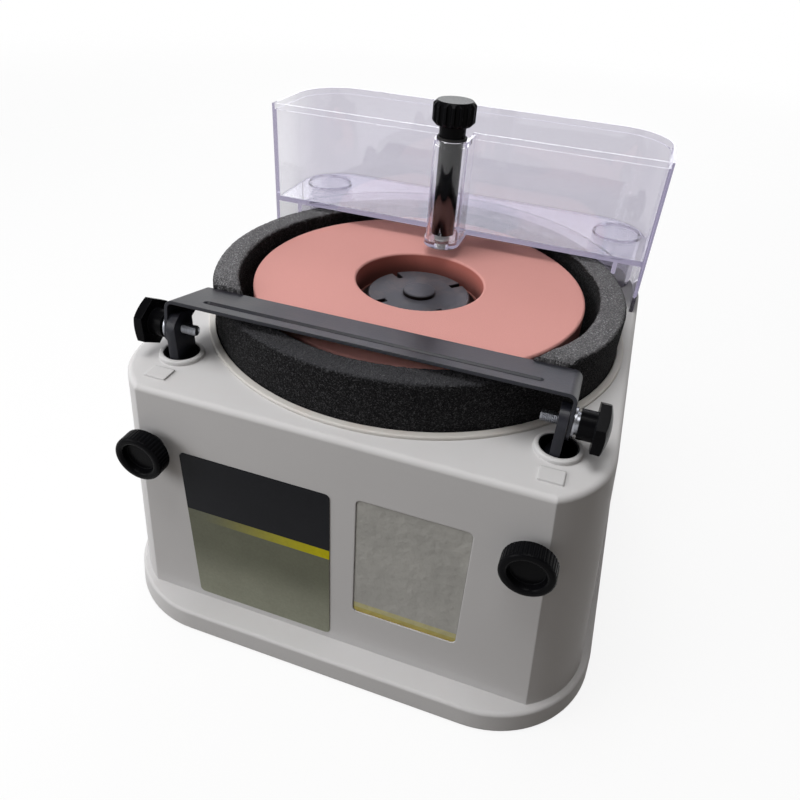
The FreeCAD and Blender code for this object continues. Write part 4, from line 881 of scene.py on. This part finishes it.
@dataclass
class SplashRing:
    """Sponge ring round the wheel, dented by the bar that lies on it.

    Attributes:
        node: The solid that the ring stands for.
        bar: The bar that presses on it.
        thickness: Wall of the ring.
        corner: Rounding of its upper edges.
        corner_rows: Steps round that edge.
        step: Distance between rows of the section.
        hidden: Height below which the tub hides it.
        around: Points round the ring.
        probe_step: Points from one try for the bar to the next.
        probes: Where such a try is made, as shares of the wall.
        sag: Depth of the slow unevenness.
        sag_scale: Waves of the unevenness along a metre.
        pit: Depth of the cut cells.
        pit_scale: Cells along a metre.
        pit_reach: Share of a cell's size that is cut.
        gap: Gap between the dent and the bar.
        spread: Width over which the dent fades.
        bulge: How far the sponge rises behind the bar.
        bulge_reach: How far from the bar it does so.
    """

    node: str = "foam_ring"
    bar: str = "guide_bar"
    thickness: float = 0.0167
    corner: float = 0.0028
    corner_rows: int = 6
    step: float = 0.0012
    hidden: float = 0.02
    around: int = 960
    probe_step: int = 4
    probes: tuple[float, ...] = (0.2, 0.5, 0.8)
    sag: float = 0.0009
    sag_scale: float = 28.0
    pit: float = 0.0006
    pit_scale: float = 420.0
    pit_reach: float = 0.7
    gap: float = 0.0005
    spread: float = 0.009
    bulge: float = 0.0035
    bulge_reach: float = 0.045

    def section(self, height: float) -> list[tuple[float, float, float, float]]:
        """Walks round the ring's section from its foot outside to its foot inside.

        Args:
            height: Height of the ring.

        Returns:
            Distance from the outer face, height, and the outward direction of each, in that plane.
        """
        straight = height - self.corner - self.hidden
        count = round(straight / self.step)
        rows = [0.0, self.hidden / 2]
        rows += [self.hidden + straight * turn / count for turn in range(count)]
        outside = [(0.0, z, -1.0, 0.0) for z in rows]
        arc = []
        for turn in range(self.corner_rows + 1):
            angle = math.pi / 2 * turn / self.corner_rows
            out, up = math.cos(angle), math.sin(angle)
            arc.append((self.corner * (1 - out), height - self.corner * (1 - up), -out, up))
        flat = self.thickness - 2 * self.corner
        count = round(flat / self.step)
        top = [(self.corner + flat * turn / count, height, 0.0, 1.0) for turn in range(1, count)]
        inside = [(self.thickness - x, z, -out, up) for x, z, out, up in reversed(outside + arc)]
        return outside + arc + top + inside

    def under_bar(self) -> BVHTree:
        """Gives the bar's surface for rays cast from the sponge.

        Returns:
            The surface.
        """
        mesh = frame["nodes"][self.bar].data
        return BVHTree.FromPolygons([corner.co for corner in mesh.vertices],
                                    [face.vertices for face in mesh.polygons])

    def ceiling(self, tree: BVHTree, spot: Vector, top: float) -> float:
        """Finds how high the sponge can stand at a spot.

        Args:
            tree: The bar's surface.
            spot: The spot, at the height of the sponge's foot.
            top: Height of the free sponge.

        Returns:
            The height under the bar, less the gap, or the free sponge's.
        """
        hit = tree.ray_cast(spot, Vector((0.0, 0.0, 1.0)))[0]
        return min(top, hit.z - self.gap) if hit else top

    def pressed_spots(self, tree: BVHTree, low: Vector, high: Vector) -> KDTree:
        """Collects the spots of the ring that the bar presses.

        Args:
            tree: The bar's surface.
            low: Lower corner of the ring's box.
            high: Upper corner of the ring's box.

        Returns:
            The spots, at height 0.
        """
        spots = []
        for turn in range(0, self.around, self.probe_step):
            for share in self.probes:
                spot = level_way(turn, self.around) * (high.x - share * self.thickness)
                if self.ceiling(tree, spot + Vector((0.0, 0.0, low.z)), high.z) < high.z:
                    spots.append(spot)
        found = KDTree(len(spots))
        for index, spot in enumerate(spots):
            found.insert(spot, index)
        found.balance()
        return found

    def tops(self, low: Vector, high: Vector, depths: list[float]) -> list[dict[float, float]]:
        """Works out the height of the sponge's top round the ring.

        Args:
            low: Lower corner of the ring's box.
            high: Upper corner of the ring's box.
            depths: Distances from the outer face.

        Returns:
            For each point round the ring, the top's height at each distance.
        """
        tree = self.under_bar()
        pressed = self.pressed_spots(tree, low, high)
        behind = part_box(self.bar)[1].y
        ring = [level_way(eighth, 8) * self.spread * share
                for eighth in range(8) for share in (0.5, 1.0)]
        tops = []
        for turn in range(self.around):
            across = level_way(turn, self.around)
            heights = {}
            for depth in depths:
                spot = across * (high.x - depth)
                nearest = pressed.find(spot)[2]
                away = self.bulge_reach if nearest is None else nearest
                closeness = max(0.0, 1 - away / self.bulge_reach)
                rise = self.bulge * closeness ** 2 if spot.y > behind else 0.0
                foot = spot + Vector((0.0, 0.0, low.z))
                own = self.ceiling(tree, foot, high.z + rise)
                near = [self.ceiling(tree, foot + shift, high.z + rise) for shift in ring]
                heights[depth] = min(own, (own + sum(near)) / (1 + len(near)))
            tops.append(heights)
        return tops

    def build(self) -> bpy.types.Object:
        """Makes the sponge with its uneven, open surface.

        Returns:
            The piece.
        """
        low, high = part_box(self.node)
        section = self.section(high.z - low.z)
        tops = self.tops(low, high, sorted({row[0] for row in section}))
        firm = low.z + self.hidden
        points = []
        for turn in range(self.around):
            across = level_way(turn, self.around)
            for depth, rise, out, up in section:
                squeeze = (tops[turn][depth] - firm) / (high.z - firm)
                height = low.z + rise
                if rise > self.hidden:
                    height = firm + (rise - self.hidden) * squeeze
                place = across * (high.x - depth) + Vector((0.0, 0.0, height))
                wave = 0.5 + 0.5 * noise.noise(place * self.sag_scale)
                pore = noise.voronoi(place * self.pit_scale)[0][0]
                sink = self.sag * wave + self.pit * max(0.0, self.pit_reach - pore)
                if rise < self.hidden:
                    sink = 0.0
                points.append(place - (across * -out + Vector((0.0, 0.0, up))) * sink)
        faces = tube_faces(self.around, len(section), True)
        piece = new_piece("sponge_ring", [tuple(point) for point in points], faces, sponge)
        carry(piece, self.node)
        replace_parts(piece, self.node)
        return piece


@dataclass
class WheelSet:
    """Whetstone with its hub and spindle."""

    def dress(self) -> None:
        """Gives the stone and its mounting their finishes."""
        dress(["grinding_wheel"], whetstone)
        dress(["wheel_retainer"], hub_plastic)
        dress(["retainer_cap"], cap_plastic)
        dress(["wheel_seat"], cast_alloy)
        dress(["spindle"], shaft_steel)
        dress(["spindle_seal"], black_rubber)


@dataclass
class GuideRest:
    """Bar, posts, clamps and angle knobs.

    Attributes:
        pitch: Thread pitch of the studs.
        thread_depth: Depth of their thread.
        chamfer: Length over which the thread runs out at the ends.
        root: Share of the pitch that the thread's root takes.
        flank: Share that its flanks take.
        around: Points round a stud.
        rows: Rows of points along one pitch.
    """

    pitch: float = 0.001
    thread_depth: float = 0.00055
    chamfer: float = 0.0008
    root: float = 0.12
    flank: float = 0.7
    around: int = 28
    rows: int = 8

    def build(self) -> list[bpy.types.Object]:
        """Makes the threaded studs.

        Returns:
            The pieces.
        """
        return [self.stud(side) for side in Side]

    def stud(self, side: Side) -> bpy.types.Object:
        """Makes one stud with a helical thread.

        Args:
            side: Side of the machine.

        Returns:
            The piece.
        """
        node = side.value + "_angle_stud"
        low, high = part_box(node)
        middle = (low + high) / 2
        radius = (high.z - low.z) / 2
        length = high.x - low.x
        count = round(length / self.pitch * self.rows) + 1
        points = []
        for row in range(count):
            along = length * row / (count - 1)
            near_end = min(along, length - along)
            runout = self.thread_depth * max(0.0, 1 - near_end / self.chamfer)
            for column in range(self.around):
                share = column / self.around
                phase = (along / self.pitch - share) % 1.0
                ridge = min(1.0, max(0.0, (1 - abs(2 * phase - 1) - self.root) / self.flank))
                reach = min(radius - self.thread_depth * (1 - ridge), radius - runout)
                angle = 2 * math.pi * share
                points.append((low.x + along, middle.y + reach * math.cos(angle),
                               middle.z + reach * math.sin(angle)))
        faces = tube_faces(count, self.around, False)
        faces.append(tuple(range(self.around)))
        faces.append(tuple(range((count - 1) * self.around, count * self.around))[::-1])
        piece = new_piece(side.value + "_threaded_stud", points, faces, zinc_steel)
        carry(piece, node)
        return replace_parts(piece, node)

    def dress(self) -> None:
        """Gives the bar and its fittings their finishes."""
        dress(["guide_bar"], black_steel)
        for side in Side:
            name = side.value + "_"
            dress([name + "post"], black_steel)
            dress([name + "angle_knob", name + "clamp_knob"], black_plastic)
            dress([name + "angle_washers", name + "angle_stud", name + "clamp_screw"], zinc_steel)
            dress([name + "clamp_insert", name + "clamp_shoe"], brass)
            dress([name + "post_sleeve"], black_plastic)


@dataclass
class DripTank:
    """Clear tank with its drip valve."""

    def dress(self) -> None:
        """Gives the tank and its valve their finishes."""
        dress(["water_tank"], clear_plastic)
        dress(["valve_knob", "valve_rod"], black_plastic)
        dress(["valve_washer"], black_rubber)
        dress(["drip_nozzle"], white_plastic)


@dataclass
class Drive:
    """Motor, belt and chassis inside the housing."""

    def dress(self) -> None:
        """Gives the hidden drive its finishes."""
        dress(["bearing_housing", "motor_end_bells", "driven_pulley", "drive_pulley"], cast_alloy)
        dress(["lower_spindle_bearing", "upper_spindle_bearing", "motor_bearings"], shaft_steel)
        dress(["motor_shaft", "motor_case"], shaft_steel)
        dress(["chassis_plate", "chassis_pillars"], zinc_steel)
        dress(["run_capacitor"], grey_plastic)
        dress(["motor_stator", "motor_rotor"], winding)
        dress(["drive_belt"], black_rubber)
        dress(["terminal_block"], white_plastic)


@dataclass
class Switch:
    """Rocker switch on the side wall.

    Attributes:
        mark_size: Height of the marks on the rocker's halves.
        stroke: Width of their lines.
        raised: How far they stand above the face.
        around: Points round the ring mark.
        facing: How far the rocker's halves face the side, at least.
        level: How far they may turn to the front or back.
    """

    mark_size: float = 0.004
    stroke: float = 0.0007
    raised: float = 0.00012
    around: int = 40
    facing: float = 0.5
    level: float = 0.01

    def faces(self) -> list[tuple[Vector, Vector]]:
        """Finds the two halves of the rocker's face.

        Returns:
            Middle and outward direction of each half, the upper one first.
        """
        mesh = frame["nodes"]["switch_rocker"].data
        halves: dict[tuple[float, float], list] = {}
        for polygon in mesh.polygons:
            normal = polygon.normal
            if normal.x < -self.facing and abs(normal.y) < self.level:
                halves.setdefault((round(normal.x, 2), round(normal.z, 2)), []).append(polygon)
        largest = sorted(halves.values(), key=lambda group: -sum(face.area for face in group))[:2]
        found = []
        for group in largest:
            area = sum(face.area for face in group)
            middle = sum((face.center * face.area for face in group), Vector()) / area
            found.append((middle, group[0].normal.copy()))
        return sorted(found, key=lambda half: -half[0].z)

    def mark(self, name: str, line: list[tuple[float, float]], closed: bool, middle: Vector,
             outward: Vector) -> bpy.types.Object:
        """Makes a flat raised line on a half of the rocker.

        Args:
            name: The piece's name.
            line: Points of the line's middle, across and up the face.
            closed: Whether the line closes.
            middle: Middle of the half.
            outward: Its outward direction.

        Returns:
            The piece.
        """
        across = Vector((0.0, -1.0, 0.0))
        upward = outward.cross(across).normalized()
        if upward.z < 0:
            upward = -upward
        count = len(line)
        points = []
        for index, (x, y) in enumerate(line):
            before = line[index - 1] if closed or index else line[index]
            after = line[(index + 1) % count] if closed or index < count - 1 else line[index]
            along = Vector((after[0] - before[0], after[1] - before[1])).normalized()
            beside = Vector((-along.y, along.x)) * self.stroke / 2
            for sign, lift in ((-1, -1), (-1, 1), (1, 1), (1, -1)):
                place = middle + across * (x + sign * beside.x) + upward * (y + sign * beside.y)
                points.append(tuple(place + outward * lift * self.raised))
        faces = tube_faces(count, 4, closed)
        if not closed:
            faces.append((0, 1, 2, 3))
            faces.append(tuple(range(4 * count - 4, 4 * count))[::-1])
        piece = new_piece(name, points, faces, white_plastic)
        return carry(piece, "switch_rocker")

    def build(self) -> list[bpy.types.Object]:
        """Makes the ring and the bar that mark off and on.

        Returns:
            The pieces.
        """
        (upper, upper_out), (lower, lower_out) = self.faces()
        half = self.mark_size / 2
        ring = [tuple(half * level_way(turn, self.around))[:2] for turn in range(self.around)]
        bar = [(0.0, -half), (0.0, half)]
        return [self.mark("rocker_mark_on", bar, False, upper, upper_out),
                self.mark("rocker_mark_off", ring, True, lower, lower_out)]

    def dress(self) -> None:
        """Gives the switch its finishes."""
        dress(["switch_frame", "switch_rocker"], black_plastic)


@dataclass
class Lamp:
    """Soft square lamp.

    Attributes:
        name: The lamp's name.
        place: Where it hangs.
        target: Where it points.
        size: Length of its sides.
        watts: Its power.
        colour: Its colour.
    """

    name: str
    place: Point
    target: Point
    size: float
    watts: float
    colour: Colour = white

    def build(self) -> None:
        """Hangs the lamp."""
        data = bpy.data.lights.new(self.name, "AREA")
        data.size = self.size
        data.energy = self.watts
        data.color = self.colour
        lamp = bpy.data.objects.new(self.name, data)
        lamp.location = self.place
        way = Vector(self.target) - Vector(self.place)
        lamp.rotation_euler = way.to_track_quat("-Z", "Y").to_euler()
        bpy.context.scene.collection.objects.link(lamp)


@dataclass
class Studio:
    """Pale floor, white surround, soft lamps and the camera.

    Attributes:
        floor_radius: Radius of the floor.
        floor_points: Points round it.
        floor_fade: Where the floor starts to fade into the surround.
        floor_colour: Colour of the floor to the eye.
        floor_bounce: Colour of the light that it throws back on the object.
        floor_white: How far the floor shows as white.
        floor_mirrored: The same for gloss, which shows more of the object's shadow.
        surround_dark: Light from the darker side of the room.
        surround_bright: Light from the brighter side of the room.
        dark_x: Direction along X where the brighter side starts.
        bright_x: Direction where it is full.
        backdrop_full: Height of direction up to which gloss shows the white backdrop.
        backdrop_end: Height of direction from which it shows the dim ceiling.
        eye: Where the camera stands.
        target: Where it looks.
        roll: Turn about its line of sight, in degrees.
        lens: Its lens in millimetres.
        near: Distance from which it sees.
        middle: Where the lamps point.
    """

    floor_radius: float = 2.5
    floor_points: int = 96
    floor_fade: float = 0.6
    floor_colour: Colour = (0.88, 0.88, 0.88)
    floor_bounce: Colour = (0.14, 0.125, 0.11)
    floor_white: float = 0.88
    floor_mirrored: float = 0.4
    surround_dark: Colour = (0.11, 0.1, 0.092)
    surround_bright: Colour = (0.95, 0.95, 0.97)
    dark_x: float = 0.0
    bright_x: float = -0.9
    backdrop_full: float = 0.3
    backdrop_end: float = 0.6
    eye: Point = (0.10519, -0.37860, 0.38597)
    target: Point = (-0.0008, -0.0217, 0.120)
    roll: float = 4.21
    lens: float = 30.76
    near: float = 0.01
    middle: Point = (0.0, 0.0, 0.15)

    def seen(self, tree: Tree) -> object:
        """Finds the rays that show the white background.

        Args:
            tree: Tree of the floor or the world.

        Returns:
            The mask's socket.
        """
        path = tree.add("LightPath").outputs
        direct = tree.math("MAXIMUM", path["Is Camera Ray"], path["Is Glossy Ray"])
        return tree.math("MAXIMUM", direct, path["Is Transmission Ray"])

    def surround(self) -> None:
        """Lights the room: white to the eye, and darker on the right for the light on the object."""
        world = bpy.data.worlds.new("surround")
        world.use_nodes = True
        tree = Tree(world.node_tree)
        world.node_tree.nodes.clear()
        way = tree.add("SeparateXYZ", {0: tree.add("TexCoord").outputs["Generated"]}).outputs
        bright = tree.between(way["X"], self.dark_x, self.bright_x)
        room = tree.mix(bright, self.surround_dark, self.surround_bright)
        above = tree.between(way["Z"], self.backdrop_full, self.backdrop_end)
        backdrop = tree.mix(above, white, self.surround_dark)
        glossy = tree.add("LightPath").outputs["Is Glossy Ray"]
        colour = tree.mix(self.seen(tree), room, tree.mix(glossy, white, backdrop))
        background = tree.add("Background", {"Color": colour, "Strength": 1.0})
        output = tree.add("OutputWorld", {"Surface": background.outputs[0]})
        output.is_active_output = True
        bpy.context.scene.world = world

    def floor(self) -> bpy.types.Object:
        """Makes the floor, a disc that fades into the surround.

        Returns:
            The floor.
        """
        count = self.floor_points
        points = [level_way(turn, count) * self.floor_radius for turn in range(count)]
        mesh = bpy.data.meshes.new("floor")
        mesh.from_pydata(points, [], [tuple(range(count))])
        floor = bpy.data.objects.new("floor", mesh)
        bpy.context.scene.collection.objects.link(floor)
        mesh.materials.append(self.floor_material())
        return floor

    def floor_material(self) -> bpy.types.Material:
        """Makes the floor's material.

        Returns:
            The material.
        """
        made, tree, _ = new_material("floor")
        made.node_tree.nodes.clear()
        distance = tree.add("VectorMath", {0: tree.spot()}, operation="LENGTH").outputs["Value"]
        away = tree.between(distance, self.floor_fade, self.floor_radius)
        seen = self.seen(tree)
        colour = tree.mix(seen, self.floor_bounce, self.floor_colour)
        matt = tree.add("BsdfDiffuse", {"Color": colour}).outputs[0]
        glow = tree.add("Emission", {"Color": opaque(white), "Strength": 1.0}).outputs[0]
        glossy = tree.add("LightPath").outputs["Is Glossy Ray"]
        less = tree.math("MULTIPLY", glossy, self.floor_white - self.floor_mirrored)
        share = tree.math("SUBTRACT", tree.math("MULTIPLY", seen, self.floor_white), less)
        shown = tree.add("MixShader", {0: share, 1: matt, 2: glow}).outputs[0]
        clear = tree.add("BsdfTransparent").outputs[0]
        faded = tree.add("MixShader", {0: away, 1: shown, 2: clear}).outputs[0]
        tree.add("OutputMaterial", {"Surface": faded})
        return made

    def lamps(self) -> list[Lamp]:
        """Lists the lamps.

        Returns:
            The lamps.
        """
        return [
            Lamp("window", (-0.25, 1.35, 1.05), self.middle, 1.2, 9.5, (0.95, 0.97, 1.0)),
            Lamp("ceiling", (-0.2, -0.3, 1.65), self.middle, 0.8, 13.6),
            Lamp("left_fill", (-0.9, -0.8, 0.65), self.middle, 0.6, 5.4),
        ]

    def camera(self) -> None:
        """Sets up the camera."""
        data = bpy.data.cameras.new("camera")
        data.lens = self.lens
        data.clip_start = self.near
        camera = bpy.data.objects.new("camera", data)
        camera.location = self.eye
        way = Vector(self.target) - Vector(self.eye)
        turn = Quaternion((0.0, 0.0, 1.0), math.radians(self.roll))
        camera.rotation_mode = "QUATERNION"
        camera.rotation_quaternion = way.to_track_quat("-Z", "Y") @ turn
        bpy.context.scene.collection.objects.link(camera)
        bpy.context.scene.camera = camera

    def build(self) -> None:
        """Builds the studio."""
        self.surround()
        self.floor()
        for lamp in self.lamps():
            lamp.build()
        self.camera()
        bpy.context.scene.view_settings.view_transform = "Standard"


def main() -> None:
    """Builds and dresses the sharpener, then the studio."""
    logging.basicConfig(level=logging.INFO, format="%(message)s")
    rest = GuideRest()
    switch = Switch()
    SplashRing().build()
    rest.build()
    switch.build()
    for part in (Body(), WheelSet(), rest, DripTank(), Drive(), switch):
        part.dress()
    Studio().build()


if __name__ == "__main__":
    main()
